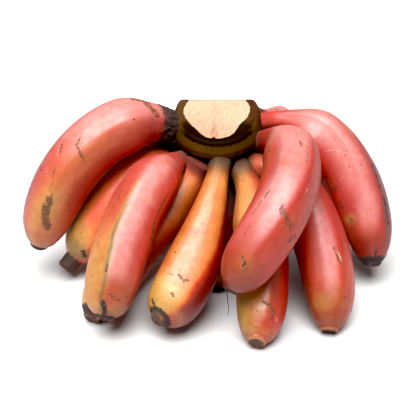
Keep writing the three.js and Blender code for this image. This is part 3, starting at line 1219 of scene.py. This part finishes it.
@dataclass
class Stalk:
    """The piece of stalk: a round wall cut behind its axis and across its top on a lean.

    wall holds radii and heights of its outline. Fronts are spans of the cosine of the turn from the front.
    Humps are a height, a middle and a width, streak and notch a strength, a middle and a width.
    """

    wall: tuple[Span, ...] = (
        (14, -50), (23, -48), (28.5, -42), (30.5, -34), (31, -25), (33, -18),
        (36.6, -12.5), (37.2, -8), (36, -3), (33.8, 3), (32.4, 10), (31.8, 22),
    )
    first_radius: float = 34.0
    wall_lean: float = 11.0
    back: float = 13.0
    back_limit: float = 0.05
    edge_power: float = 24.0
    far: float = 999.0
    top: float = 5.0
    lean: float = 18.0
    swell: float = 1.6
    swell_spread: float = 10.0
    lip_round: float = 1.1
    lip_depth: float = 2.5
    foot: float = 0.98
    columns: int = 288
    wall_rings: int = 70
    cap_rings: int = 50
    radius_rounds: int = 6
    rise_rounds: int = 12
    rind: float = 6.6
    rind_blur: float = 1.5
    pith_heights: Span = (-34, -22)
    wall_front: Span = (-0.2, 0.8)
    scorch_front: Span = (0.3, 0.8)
    scorch_depth: Span = (1.6, 6.0)
    # How deep under the lip the wall fades to near black: painted shade.
    under_lip_shade: Span = (11, 20)
    green_depth: Span = (7, 13)
    brown_front: Span = (0.1, 0.7)
    rind_humps: tuple[Triple, ...] = (
        (4.2, 0.95, 0.5), (2.6, -0.85, 0.4), (-2.2, 0.0, 0.5), (2.4, -0.09, 0.045),
    )
    rind_waves: tuple[Triple, ...] = ((0.3, 9, 0.5), (0.12, 31, 1))
    cut_blur: float = 1.0
    dish: float = 0.9
    dish_start: float = 0.3
    heart_rise: float = 0.5
    heart_reach: float = 3
    cap_front: Span = (0.05, 0.75)
    cap_side: Span = (0.0, 0.7)
    rim_start: float = 0.4
    rim_share: float = 0.55
    rim_strength: float = 0.3
    centre_dip: float = 0.4
    streak: Triple = (0.5, -2.2, 1.8)
    streak_back: float = 0.35
    streak_span: Span = (8.0, 24.0)
    notch: Triple = (1.2, -2.8, 2.4)
    notch_front: Span = (-25.0, 4.0)
    low_edge: float = 0.5
    low_edge_lean: float = 0.35
    low_edge_span: Span = (-2.0, 26.0)
    fibre_run: Span = (0.3, 0.01)
    cut_fibre: float = 0.3
    ray_run: Span = (0.8, 0.2)

    def round_radius(self, turn: np.ndarray, height: np.ndarray) -> np.ndarray:
        """The uncut wall's radius, with a low swelling at every neck.

        Args:
            turn: angles round the axis, 0 at the front.
            height: heights over STALK.

        Returns:
            The radii.
        """
        radii, heights = np.array(self.wall).T
        tilt = math.tan(math.radians(self.wall_lean))
        radius = np.full_like(height, self.first_radius)
        for _ in range(self.radius_rounds):
            radius = np.interp(height + radius * np.cos(turn) * tilt, heights, radii)
        swell = np.zeros_like(radius)
        for form in FORMS.values():
            around = math.radians(form.around)
            off = (radius * (np.sin(turn) - math.sin(around))) ** 2
            off = off + (radius * (np.cos(turn) - math.cos(around))) ** 2 + (height + form.drop) ** 2
            swell = swell + np.exp(-off / self.swell_spread**2)
        return radius + self.swell * np.minimum(swell, 1)

    def cut_radius(self, turn: np.ndarray, radius: np.ndarray) -> np.ndarray:
        """The wall's radius after the lengthwise cut behind its axis.

        Args:
            turn: angles round the axis, 0 at the front.
            radius: the uncut wall's radii.

        Returns:
            The radii, with the corners of the cut a little rounded.
        """
        toward_back = -np.cos(turn)
        cut = self.back / np.maximum(toward_back, self.back_limit)
        flat = np.where(toward_back > self.back_limit, cut, self.far)
        return (radius**-self.edge_power + flat**-self.edge_power) ** (-1 / self.edge_power)

    def wall_ring(self, turns: np.ndarray, rise: np.ndarray, ring: int) -> Arrays:
        """One ring of the wall.

        Args:
            turns: the ring's angles.
            rise: the heights of the wall's upper edge.
            ring: its number, counted from the foot.

        Returns:
            Its places as "points", and its attributes by name.
        """
        front, none = np.cos(turns), np.zeros(self.columns)
        foot_radius, foot_height = self.wall[0]
        low = foot_height - foot_radius * front * math.tan(math.radians(self.wall_lean))
        height = low + (rise - low) * (ring / (self.wall_rings - 1))
        depth = rise - height
        whole = self.round_radius(turns, height)
        radius = self.cut_radius(turns, whole) * (1 if ring else self.foot)
        radius = radius - self.lip_round * np.clip(1 - depth / self.lip_depth, 0, 1) ** 2
        inner = smoothstep(whole - radius, self.rind - self.rind_blur, self.rind + self.rind_blur)
        scorched = smoothstep(front, *self.scorch_front) * (1 - smoothstep(depth, *self.scorch_depth))
        fore = smoothstep(front, *self.wall_front)
        return {
            "points": np.stack([radius * np.sin(turns), -radius * front, height], -1),
            "pith": inner * smoothstep(height, *self.pith_heights),
            # rim holds the dark cut edge at the front and, lower down, painted shade under the lip.
            "rim": np.maximum(smoothstep(depth, *self.under_lip_shade), scorched),
            "green": fore * (1 - smoothstep(depth, *self.green_depth)),
            "brown": 1 - smoothstep(front, *self.brown_front),
            "stain": none,
            "polar": np.stack([turns * self.fibre_run[0], none, height * self.fibre_run[1]], -1),
            "rays": np.zeros((self.columns, 3)),
        }

    def stains(self, x: np.ndarray, y: np.ndarray) -> np.ndarray:
        """How far the cut face is stained: by a streak, a notch at the front and along its low edge.

        Args:
            x: places across the cut face.
            y: the same places' distance behind its middle.

        Returns:
            A number from 0 to 1 for every place.
        """
        strength, middle, width = self.streak
        fading = self.streak_back + (1 - self.streak_back) * smoothstep(-y, *self.streak_span)
        stain = strength * bell(x, middle, width) * fading
        strength, middle, width = self.notch
        stain = stain + strength * bell(x, middle, width) * bell(y, *self.notch_front)
        low_edge = smoothstep(-y - self.low_edge_lean * x, *self.low_edge_span)
        return np.clip(stain + self.low_edge * low_edge, 0, 1)

    def cap_ring(self, turns: np.ndarray, edge: np.ndarray, lip: np.ndarray, ring: int) -> Arrays:
        """One ring of the cut face.

        Args:
            turns: the ring's angles.
            edge: the radii of the cut wall at its upper edge.
            lip: the radii the uncut wall has there.
            ring: its number, counted inward.

        Returns:
            Its places as "points", and its attributes by name.
        """
        front, none = np.cos(turns), np.zeros(self.columns)
        radius = (edge - self.lip_round) * (1 - ring / self.cap_rings)
        x, y, depth = radius * np.sin(turns), -radius * front, lip - radius
        rind = self.rind
        for height, middle, width in self.rind_humps:
            rind = rind + height * bell(turns, middle, width)
        for height, count, shift in self.rind_waves:
            rind = rind + height * np.sin(turns * count + shift)
        dished = self.heart_rise * smoothstep(depth, self.rind, self.rind * self.heart_reach)
        dished = dished - self.dish * smoothstep(depth, self.dish_start, self.rind)
        level = self.top + y * math.tan(math.radians(self.lean))
        fore = smoothstep(front, *self.cap_front)
        rim = smoothstep(depth, self.rim_start, rind * self.rim_share) * self.rim_strength
        return {
            "points": np.stack([x, y, level + dished], -1),
            "pith": smoothstep(depth, rind - self.cut_blur, rind + self.cut_blur),
            "rim": np.maximum(rim, fore),
            "green": (1 - fore) * smoothstep(-np.sin(turns), *self.cap_side),
            "brown": (1 - fore) * smoothstep(np.sin(turns), *self.cap_side),
            "stain": self.stains(x, y),
            "polar": np.stack([turns * self.fibre_run[0], none + self.cut_fibre, none], -1),
            "rays": np.stack([x * self.ray_run[0], y * self.ray_run[1], none], -1),
        }

    def build(self) -> bpy.types.Object:
        """Makes the stalk's mesh, dresses it and places it in the frame.

        Returns:
            The finished piece.
        """
        turns = np.arange(self.columns) * 2 * math.pi / self.columns - math.pi
        rise = np.full(self.columns, self.top)
        for _ in range(self.rise_rounds):
            lip = self.round_radius(turns, rise)
            edge = self.cut_radius(turns, lip)
            rise = self.top - edge * np.cos(turns) * math.tan(math.radians(self.lean))
        rings = [self.wall_ring(turns, rise, ring) for ring in range(self.wall_rings)]
        rings += [self.cap_ring(turns, edge, lip, ring) for ring in range(1, self.cap_rings)]
        layers = {key: np.concatenate([ring[key] for ring in rings]) for key in rings[0]}
        body = layers.pop("points")
        points = np.vstack([[[0, 0, self.wall[0][1]]], body, [[0, 0, self.top - self.centre_dip]]])
        layers = {key: capped(values, -self.columns) for key, values in layers.items()}
        layers["straight"] = points * MM
        piece = mesh_object("stalk_piece", points + STALK, tube_faces(len(rings), self.columns), layers)
        piece.data.materials.append(StalkFinish().build("stalk_rind_and_pith"))
        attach(piece, "root")
        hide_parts("stalk")
        return piece


@dataclass(frozen=True)
class Thread:
    """A dry thread of the flower that still hangs from a fruit's tip."""

    fruit: str
    slot: str
    path: tuple[Triple, ...] = (
        (-1.5, 2, 3), (-2.6, 0, -3), (-2.2, -1.2, -9),
        (-1.2, -1.6, -16), (-2.0, -1.2, -20), (-1.4, -1.0, -23),
    )
    radius: float = 0.38
    end_taper: float = 0.5
    floor_gap: float = 1.0
    columns: int = 8
    rings: int = 40
    finish: PlainFinish = PlainFinish(paint("241a14"), 0.8)

    def build(self) -> bpy.types.Object:
        """Makes the thread's mesh, dresses it and places it in the frame.

        Returns:
            The finished piece.
        """
        knots = SPINES[self.fruit][-1] + np.array(self.path)
        shares = np.linspace(0, len(knots) - 1, self.rings)
        line = np.stack([np.interp(shares, np.arange(len(knots)), knots[:, k]) for k in range(3)], -1)
        line[1:-1] = (line[:-2] + line[1:-1] + line[2:]) / 3
        line[:, 2] = np.maximum(line[:, 2], self.floor_gap)
        turns = np.arange(self.columns) * math.tau / self.columns
        across = np.stack([np.cos(turns), np.sin(turns), np.zeros(self.columns)], -1)
        thick = self.radius * (1 - self.end_taper * np.linspace(0, 1, self.rings))
        rows = line[::-1, None, :] + across[None, :, :] * thick[::-1, None, None]
        points = np.vstack([line[-1:], rows.reshape(-1, 3), line[:1]])
        piece = mesh_object(f"{self.fruit}_thread", points, tube_faces(self.rings, self.columns), {})
        piece.data.materials.append(self.finish.build("dry_thread"))
        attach(piece, "root")
        return piece


@dataclass(frozen=True)
class Studio:
    """The pale floor, the soft lights and the camera. The floor's sizes are in metres."""

    distance: float = 793.0
    elevation: float = 30.0
    lens: float = 85.0
    sensor: float = 36.0
    floor_size: float = 24.0
    floor_drop: float = 1e-4
    floor_finish: PlainFinish = PlainFinish((0.52, 0.52, 0.52, 1), 0.9, 0.1)
    surround: float = 0.2
    sun_power: float = 8.4
    sun_angle: float = 52.0
    sun_from: Triple = (-0.12, -0.3, 1.0)
    black: float = 0.015

    def view(self) -> None:
        """Sets the standard view with a small black level."""
        view = bpy.context.scene.view_settings
        view.view_transform = "Standard"
        view.use_curve_mapping = True
        view.curve_mapping.black_level = (self.black, self.black, self.black)
        view.curve_mapping.update()

    def world(self) -> None:
        """Surrounds everything with weak white light."""
        world = bpy.data.worlds.new("soft_surround")
        world.use_nodes = True
        background = world.node_tree.nodes["Background"]
        background.inputs["Color"].default_value = (1, 1, 1, 1)
        background.inputs["Strength"].default_value = self.surround
        bpy.context.scene.world = world

    def floor(self) -> None:
        """Lays the pale floor."""
        half = self.floor_size / 2
        mesh = bpy.data.meshes.new("floor")
        corners = [(x * half, y * half, -self.floor_drop) for x, y in ((-1, -1), (1, -1), (1, 1), (-1, 1))]
        mesh.from_pydata(corners, [], [(0, 1, 2, 3)])
        mesh.materials.append(self.floor_finish.build("pale_floor"))
        floor = placed("floor", mesh)

    def sun(self) -> None:
        """Hangs one broad soft light high over the object, a little to its front left."""
        data = bpy.data.lights.new("skylight", "SUN")
        data.energy = self.sun_power
        data.angle = math.radians(self.sun_angle)
        lamp = placed("skylight", data)
        lamp.rotation_mode = "QUATERNION"
        lamp.rotation_quaternion = (-Vector(self.sun_from)).to_track_quat("-Z", "Y")

    def camera(self) -> None:
        """Places the camera in front of the hand, looking down on it."""
        aim = (STALK + AIM_OFFSET) * MM
        rise = math.radians(self.elevation)
        data = bpy.data.cameras.new("camera")
        data.lens = self.lens
        data.sensor_width = self.sensor
        camera = placed("camera", data)
        camera.location = aim + np.array([0, -math.cos(rise), math.sin(rise)]) * self.distance * MM
        camera.rotation_euler = (math.pi / 2 - rise, 0, 0)
        bpy.context.scene.camera = camera

    def build(self) -> None:
        """Sets up everything round the object."""
        self.view()
        self.world()
        self.floor()
        self.sun()
        self.camera()


# Red bands along the lower, right and inner flanks are partly the peel's own red and partly painted shade;
# pale pink bands and tints on the top-lit sides are painted highlight.
FRUITS: tuple[Fruit, ...] = (
    Fruit(
        "banana_left", "skin_rose", Tone.ROSE, withered=1.0, seed=1.0, dark_end=4.0, tip_tan=0.1,
        swell=6.0,
        bands=(
            # Deep red on the lower flank: partly the peel's own red, partly painted shade.
            Band(Tone.RED, ((0.1, -150, -95, 0.8), (0.7, -150, -108, 0.8), (1.0, -150, -125, 0.3)), 30),
            Band(Tone.EMBER, ((0.25, -92, -52, 0.7), (0.6, -100, -52, 0.8), (0.8, -110, -70, 0.6)), 34),
            Band(Tone.MAUVE, ((0.3, 6, 60, 0.5), (0.8, 0, 60, 0.5)), 16),
        ),
        tints=(
            Tint(Tone.ORANGE, 0.52, -52, 0.2, 36, 0.6, 0.7),
            Tint(Tone.HIGHLIGHT_PINK, 0.3, -14, 0.24, 38, 0.95, 0.7),
            Tint(Tone.AMBER, 0.84, -55, 0.17, 40, 0.9, 0.6),
            Tint(Tone.OLIVE, 0.76, -54, 0.09, 18, 0.6, 0.7),
            Tint(Tone.ORANGE, 0.92, -90, 0.12, 40, 0.7, 0.6),
        ),
        marks=(
            scuff(5.5, 0.9, (0.72, -56), (0.79, -62), (0.85, -78)),
            scuff(4.5, 0.9, (0.76, -52), (0.84, -68)),
            scuff(2.4, 0.8, (0.46, -28), (0.49, -36), (0.5, -50), (0.515, -72)),
            spot(1.8, 0.6, (0.505, -62), (0.52, -74)),
            scuff(2.6, 0.75, (0.51, -6), (0.535, -12), (0.56, -22)),
            spot(1.5, 0.6, (0.555, -22), (0.57, -27)),
            scuff(4.6, 0.9, (0.235, 6), (0.185, 0)),
            spot(2.8, 0.62, (0.225, 4), (0.19, 2)),
            scuff(4.8, 0.95, (0.195, -14), (0.18, -30), (0.172, -48)),
            spot(3.2, 0.58, (0.19, -18), (0.18, -30), (0.175, -40)),
            scuff(3.0, 0.5, (0.6, -30), (0.68, -50)),
        ),
    ),
    Fruit(
        "banana_left_low", "skin_amber", Tone.BLAZE, seed=2.0, dark_end=13.0, tip_tan=0.0, swell=4.5,
        lobe=(2.4, -4),
        neck=(Tone.RUST, 0.7, 0.16),
        bands=(
            Band(Tone.AMBER, ((0.1, -12, 60, 0.7), (0.7, -14, 60, 0.8)), 26),
            # Red on the lower right flank: partly the peel's own red, partly painted shade.
            Band(Tone.RED, ((0.0, -170, -84, 0.8), (0.6, -170, -90, 0.8), (0.9, -170, -96, 0.7)), 34),
        ),
        tints=(
            Tint(Tone.GOLD, 0.82, -16, 0.14, 52, 0.85, 0.5),
            Tint(Tone.OLIVE, 0.86, -26, 0.07, 36, 0.6, 0.6),
            Tint(Tone.MOSS, 0.875, -40, 0.05, 50, 0.6, 0.6),
        ),
        marks=(
            char(5.0, 0.7, (0.85, -58), (0.87, -74)),
            scuff(2.2, 0.6, (0.76, -30), (0.78, -36)),
        ),
    ),
    Fruit(
        "banana_front_left", "skin_rose", Tone.ROSE, seed=3.0, dark_end=3.6, tip_tan=0.1, swell=3.0,
        # Dark brown neck: the neck's own brown, deepened as painted shade under the stalk's lip.
        neck=(Tone.BROWN, 0.9, 0.15),
        bands=(
            Band(Tone.HIGHLIGHT_PINK, ((0.2, -48, -8, 0.95), (0.8, -46, -8, 0.8)), 30),
            # Red on the right flank: partly the peel's own red, partly painted shade.
            Band(Tone.RED, ((0.1, -150, -66, 0.85), (0.5, -150, -64, 0.9), (0.9, -150, -74, 0.7)), 22),
            Band(Tone.AMBER, ((0.5, 0, 80, 0.15), (0.7, 0, 80, 0.75), (1.0, 0, 100, 0.9)), 12),
            Band(Tone.OLIVE, ((0.4, -6, 4, 0.5), (0.55, -8, 6, 0.9), (0.95, -10, 9, 0.95)), 12),
            Band(Tone.MOSS, ((0.42, -4, 1, 0.3), (0.6, -6, 1, 0.75), (0.95, -8, 2, 0.85)), 8),
        ),
        tints=(
            Tint(Tone.RUST, 0.92, -40, 0.12, 50, 0.75, 0.6),
            Tint(Tone.OLIVE, 0.8, 30, 0.12, 22, 0.6, 0.6),
            Tint(Tone.EMBER, 0.46, 26, 0.12, 22, 0.6, 0.6),
        ),
        marks=(
            spot(1.9, 0.85, (0.768, -3), (0.8, -4)),
            spot(1.5, 0.7, (0.805, -17)),
            spot(1.3, 0.7, (0.718, 12)),
            spot(1.3, 0.7, (0.763, 20)),
            spot(1.2, 0.65, (0.758, -62)),
            spot(1.2, 0.65, (0.79, -58)),
            spot(1.0, 0.6, (0.52, -4)),
            spot(1.1, 0.6, (0.63, -20)),
            scuff(2.4, 0.85, (0.89, -22), (0.905, -36), (0.905, -46)),
            spot(1.4, 0.55, (0.9, -34), (0.905, -42)),
            char(5.0, 0.8, (0.93, -8), (0.97, -16)),
            scuff(1.6, 0.9, (0.38, -72), (0.5, -72), (0.6, -79)),
            spot(2.4, 0.72, (0.52, -73), (0.61, -80)),
            scuff(1.2, 0.8, (0.43, 26), (0.5, 22)),
            scuff(1.1, 0.8, (0.46, 38), (0.52, 32)),
        ),
    ),
    Fruit(
        "banana_front_left_low", "skin_amber", Tone.BLAZE, seed=4.0, dark_end=8.0, tip_tan=0.1,
        swell=5.0, swell_end=0.32, sunk=15.0, domed=1.0, root_shade=0.6,
        # Dark red neck with a dark root where it runs under the stalk: painted shade.
        neck=(Tone.SHADE_RED, 0.85, 0.1),
        bands=(
            Band(Tone.RED, ((0.2, -160, -72, 0.8), (0.9, -160, -60, 0.8)), 26),
            Band(Tone.GOLD, ((0.75, 10, 90, 0.7), (1.0, 10, 90, 0.9)), 26),
        ),
        tints=(Tint(Tone.PEACH, 0.2, -46, 0.16, 54, 0.9, 0.6),),
    ),
    Fruit(
        "banana_front", "skin_peach", Tone.PEACH, seed=5.0, dark_end=4.4, tip_tan=0.1, swell=0.0,
        neck=(Tone.STEM, 0.92, 0.2),
        bands=(
            # Apricot on the top-lit flat: partly the peel's own tone, partly painted highlight.
            Band(Tone.APRICOT, ((0.25, -20, 26, 0.8), (0.8, -20, 30, 0.8)), 30),
            # Red on the right flank: partly the peel's own red, partly painted shade.
            Band(
                Tone.RED,
                (
                    (0.08, -180, -88, 0.8), (0.43, -180, -66, 1.0), (0.65, -180, -52, 1.0),
                    (0.8, -180, -50, 1.0), (0.98, -180, -56, 0.95),
                ),
                12,
            ),
            # Darker red deeper on that flank: painted shade.
            Band(Tone.SHADE_RED, ((0.3, -180, -80, 0.7), (0.65, -180, -62, 0.9), (0.95, -180, -60, 0.95)), 22),
            Band(Tone.EMBER, ((0.2, 40, 120, 0.6), (0.8, 50, 120, 0.5)), 30),
        ),
        tints=(
            Tint(Tone.GOLD, 0.92, 14, 0.12, 55, 0.9, 0.5),
            Tint(Tone.AMBER, 0.2, 0, 0.12, 70, 0.6, 0.6),
            Tint(Tone.ROSE, 0.97, -80, 0.05, 30, 0.5, 0.7),
        ),
        marks=(
            spot(1.3, 0.75, (0.735, -8)),
            scuff(2.2, 0.95, (0.765, -12), (0.785, -26), (0.77, -34)),
            spot(1.3, 0.62, (0.78, -20), (0.795, -32)),
            spot(1.1, 0.6, (0.755, -32), (0.79, -40)),
            spot(2.3, 0.8, (0.885, -20), (0.892, -28)),
            spot(0.9, 0.6, (0.855, -38)),
            spot(0.8, 0.6, (0.87, -12)),
            scuff(1.0, 0.8, (0.76, 26), (0.78, 8), (0.785, -6)),
            scuff(3.0, 0.8, (0.83, 48), (0.87, 54)),
            spot(1.0, 0.65, (0.443, -10)),
            char(3.2, 0.8, (0.955, 30), (0.985, 16)),
            spot(1.4, 0.6, (0.74, -82)),
        ),
    ),
    Fruit(
        # Hidden fruit deep under the others: painted shade, dark maroon all over with a near-black neck.
        "banana_front_low", "skin_maroon", Tone.SHADED_MAROON, seed=6.0,
        neck=(Tone.SHADE, 0.95, 0.45), swell=8.0, swell_end=0.75, tip_tan=0.1, dull=1.0,
    ),
    Fruit(
        "banana_front_right_low", "skin_peach", Tone.EMBER, seed=7.0, dark_end=1.4, tip_tan=0.8,
        swell=3.0,
        neck=(Tone.STEM, 0.92, 0.2),
        bands=(
            Band(Tone.AMBER, ((0.1, 0, 100, 0.9), (0.36, 4, 100, 0.9), (0.5, 20, 100, 0.4)), 30),
            Band(Tone.RED, ((0.4, -160, -34, 0.95), (1.0, -160, -44, 0.75)), 14),
        ),
        tints=(
            Tint(Tone.RUST, 0.9, 50, 0.14, 40, 0.8, 0.6),
            Tint(Tone.OLIVE, 0.87, 34, 0.12, 40, 0.8, 0.5),
            Tint(Tone.AMBER, 0.84, 6, 0.1, 26, 0.6, 0.6),
            Tint(Tone.ROSE, 0.93, -40, 0.06, 40, 0.5, 0.6),
        ),
        marks=(
            scuff(2.0, 0.95, (0.825, -8), (0.84, -20), (0.862, -40)),
            spot(1.4, 0.7, (0.83, -12), (0.85, -26), (0.865, -40)),
            spot(1.8, 0.7, (0.862, -40), (0.885, -36), (0.905, -38)),
            scuff(1.4, 0.6, (0.86, 10), (0.88, 2)),
            pale(1.6, 0.7, (0.88, -52), (0.9, -56)),
        ),
    ),
    Fruit(
        "banana_front_right", "skin_rose", Tone.CRIMSON, seed=8.0, dark_end=2.6, tip_tan=0.1,
        tip_olive=0.0,
        # Dark brown neck: painted shade where it leaves the stalk, over the neck's own brown.
        neck=(Tone.BROWN, 0.75, 0.15),
        bands=(
            Band(Tone.HIGHLIGHT_PINK, ((0.35, -36, 20, 0.75), (0.66, -30, 24, 0.6), (0.82, -30, 24, 0.2)), 26),
            Band(Tone.EMBER, ((0.3, 32, 120, 0.7), (0.9, 36, 120, 0.6)), 12),
            Band(Tone.MAUVE, ((0.3, 22, 30, 0.7), (0.56, 20, 28, 0.8), (0.64, 14, 24, 0.4)), 8),
            Band(Tone.RED, ((0.5, -160, -88, 0.6), (0.95, -160, -84, 0.8)), 24),
        ),
        tints=(
            Tint(Tone.HIGHLIGHT_PINK, 0.3, 0, 0.1, 44, 0.7, 0.7),
            Tint(Tone.ORANGE, 0.88, -36, 0.04, 20, 0.7, 0.6),
            # Darker red at the tip: painted shade.
            Tint(Tone.SHADE_RED, 0.97, -50, 0.1, 100, 0.75, 0.6),
            Tint(Tone.RUST, 0.9, -30, 0.1, 50, 0.45, 0.7),
            Tint(Tone.EMBER, 0.7, -60, 0.08, 24, 0.6, 0.6),
        ),
        marks=(
            spot(2.2, 0.62, (0.618, 12), (0.665, 14)),
            scuff(1.8, 0.7, (0.66, 15), (0.72, 15)),
            spot(2.8, 0.8, (0.868, -36), (0.882, -41)),
            scuff(4.2, 0.6, (0.86, -26), (0.89, -48)),
            spot(2.2, 0.7, (0.917, -76)),
            spot(2.0, 0.66, (0.71, -50)),
            scuff(5.5, 0.66, (0.67, -30), (0.69, -50), (0.7, -66)),
            spot(2.6, 0.66, (0.61, -84), (0.63, -90)),
            scuff(4.0, 0.7, (0.735, -84), (0.71, -90)),
            scuff(3.0, 0.7, (0.4, -14), (0.42, -18)),
            spot(1.2, 0.5, (0.405, -15), (0.42, -18)),
            scuff(4.5, 0.5, (0.43, -28), (0.47, -32)),
            scuff(2.6, 0.62, (0.34, 62), (0.42, 54)),
            scuff(2.0, 0.5, (0.75, 6), (0.8, 2)),
            pale(2.0, 0.6, (0.55, -52), (0.58, -56)),
        ),
    ),
    Fruit(
        "banana_right_low", "skin_red", Tone.CRIMSON, seed=9.0, dark_end=1.4, tip_tan=0.6,
        tip_olive=0.1, swell=5.0,
        neck=(Tone.ORANGE, 0.6, 0.16),
        bands=(
            Band(Tone.RED, ((0.45, -10, 50, 0.35), (0.85, -6, 50, 0.35)), 26),
            Band(Tone.RED, ((0.4, 54, 170, 0.85), (0.85, 58, 170, 0.8)), 24),
            Band(Tone.RED, ((0.4, -150, -40, 0.7), (1.0, -150, -36, 0.7)), 26),
        ),
        tints=(
            Tint(Tone.EMBER, 0.82, 20, 0.16, 90, 0.7, 0.7),
            # Darker rust and red at the tip: partly the peel's own tone, partly painted shade.
            Tint(Tone.RUST, 0.95, 16, 0.13, 80, 0.9, 0.5),
            Tint(Tone.SHADE_RED, 0.98, 16, 0.06, 120, 0.6, 0.6),
            Tint(Tone.OLIVE, 0.89, 26, 0.05, 26, 0.3, 0.6),
        ),
        marks=(
            scuff(2.2, 0.85, (0.645, -6), (0.69, -12), (0.72, -18)),
            pale(1.4, 0.8, (0.66, -12), (0.71, -20)),
            spot(1.1, 0.6, (0.655, -6), (0.672, -10)),
            spot(1.5, 0.62, (0.448, -12)),
            spot(1.6, 0.66, (0.848, 42)),
            spot(1.5, 0.6, (0.935, -4), (0.95, -2)),
        ),
    ),
    Fruit(
        "banana_right", "skin_rose", Tone.CRIMSON, seed=10.0, dark_end=7.5, tip_tan=0.1, tip_olive=0.0,
        swell=4.0, root_shade=0.35, lobe=(5.0, 118),
        neck=(Tone.RED, 0.6, 0.2),
        bands=(
            # Deep red on the inner flank toward its neighbour: partly the peel's own red, partly painted
            # shade.
            Band(Tone.RED, ((0.3, 78, 170, 0.75), (0.9, 84, 170, 0.85)), 26),
            Band(
                Tone.SLATE,
                (
                    (0.36, -34, -20, 0.0), (0.58, -46, -14, 0.85),
                    (0.86, -52, -24, 0.9), (0.97, -46, -30, 0.0),
                ),
                18,
            ),
        ),
        tints=(
            Tint(Tone.HIGHLIGHT_PINK, 0.27, 24, 0.13, 40, 0.8, 0.7),
            Tint(Tone.HIGHLIGHT_PINK, 0.5, 26, 0.16, 30, 0.6, 0.7),
            Tint(Tone.HIGHLIGHT_PINK, 0.75, 20, 0.12, 24, 0.7, 0.6),
            Tint(Tone.EMBER, 0.9, 40, 0.1, 60, 0.7, 0.6),
            # Darker red at the tip: painted shade.
            Tint(Tone.SHADE_RED, 0.93, 30, 0.08, 100, 0.7, 0.7),
            Tint(Tone.OLIVE, 0.76, 62, 0.03, 12, 0.5, 0.6),
        ),
        marks=(
            pale(0.9, 0.8, (0.388, 68), (0.41, 52), (0.46, 34), (0.49, 14), (0.53, -4)),
            scuff(3.4, 0.75, (0.5, 92), (0.56, 86), (0.59, 80)),
            spot(1.6, 0.6, (0.52, 90), (0.57, 84)),
            scuff(3.4, 0.75, (0.66, 76), (0.69, 74)),
            scuff(3.4, 0.65, (0.74, 62), (0.77, 60)),
            char(2.4, 0.62, (0.55, -20), (0.66, -22)),
            char(4.5, 0.66, (0.7, -30), (0.82, -38)),
            char(4.0, 0.6, (0.93, -4), (0.97, 0)),
        ),
    ),
    Fruit(
        "banana_back_right", "skin_rose", Tone.ROSE, seed=11.0, dark_end=3.0, swell=1.0, sunk=2.5,
        root_shade=0.8,
        neck=(Tone.FLAME, 0.6, 0.08),
        bands=(Band(Tone.RED, ((0.1, 100, 260, 0.7), (0.9, 100, 260, 0.7)), 40),),
        tints=(Tint(Tone.HIGHLIGHT_PINK, 0.3, 10, 0.2, 50, 0.7, 0.6), Tint(Tone.AMBER, 0.9, 0, 0.14, 90, 0.7, 0.6)),
        marks=(spot(1.6, 0.66, (0.2, 20), (0.23, 22)),),
    ),
    Fruit(
        "banana_back_left", "skin_red", Tone.EMBER, seed=12.0, dark_end=3.0, sunk=2.5,
        neck=(Tone.BROWN, 0.7, 0.12),
        bands=(Band(Tone.RED, ((0.1, 90, 270, 0.7), (0.9, 90, 270, 0.7)), 40),),
        tints=(
            Tint(Tone.ROSE, 0.4, -20, 0.25, 50, 0.7, 0.6),
            Tint(Tone.AMBER, 0.88, 10, 0.16, 90, 0.7, 0.6),
        ),
        marks=(
            scuff(2.4, 0.8, (0.5, 30), (0.56, 20)),
            spot(1.8, 0.66, (0.7, -40), (0.72, -44)),
        ),
    ),
)


def main() -> None:
    """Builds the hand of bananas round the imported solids."""
    logging.basicConfig(level=logging.INFO, format="%(message)s")
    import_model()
    Studio().build()
    thread = Thread("banana_front_right", "skin_rose")
    pieces = [Stalk().build(), *(fruit.build() for fruit in FRUITS), thread.build()]
    for piece in pieces:
        LOG.info("%s: %d vertices", piece.name, len(piece.data.vertices))


if __name__ == "__main__":
    main()
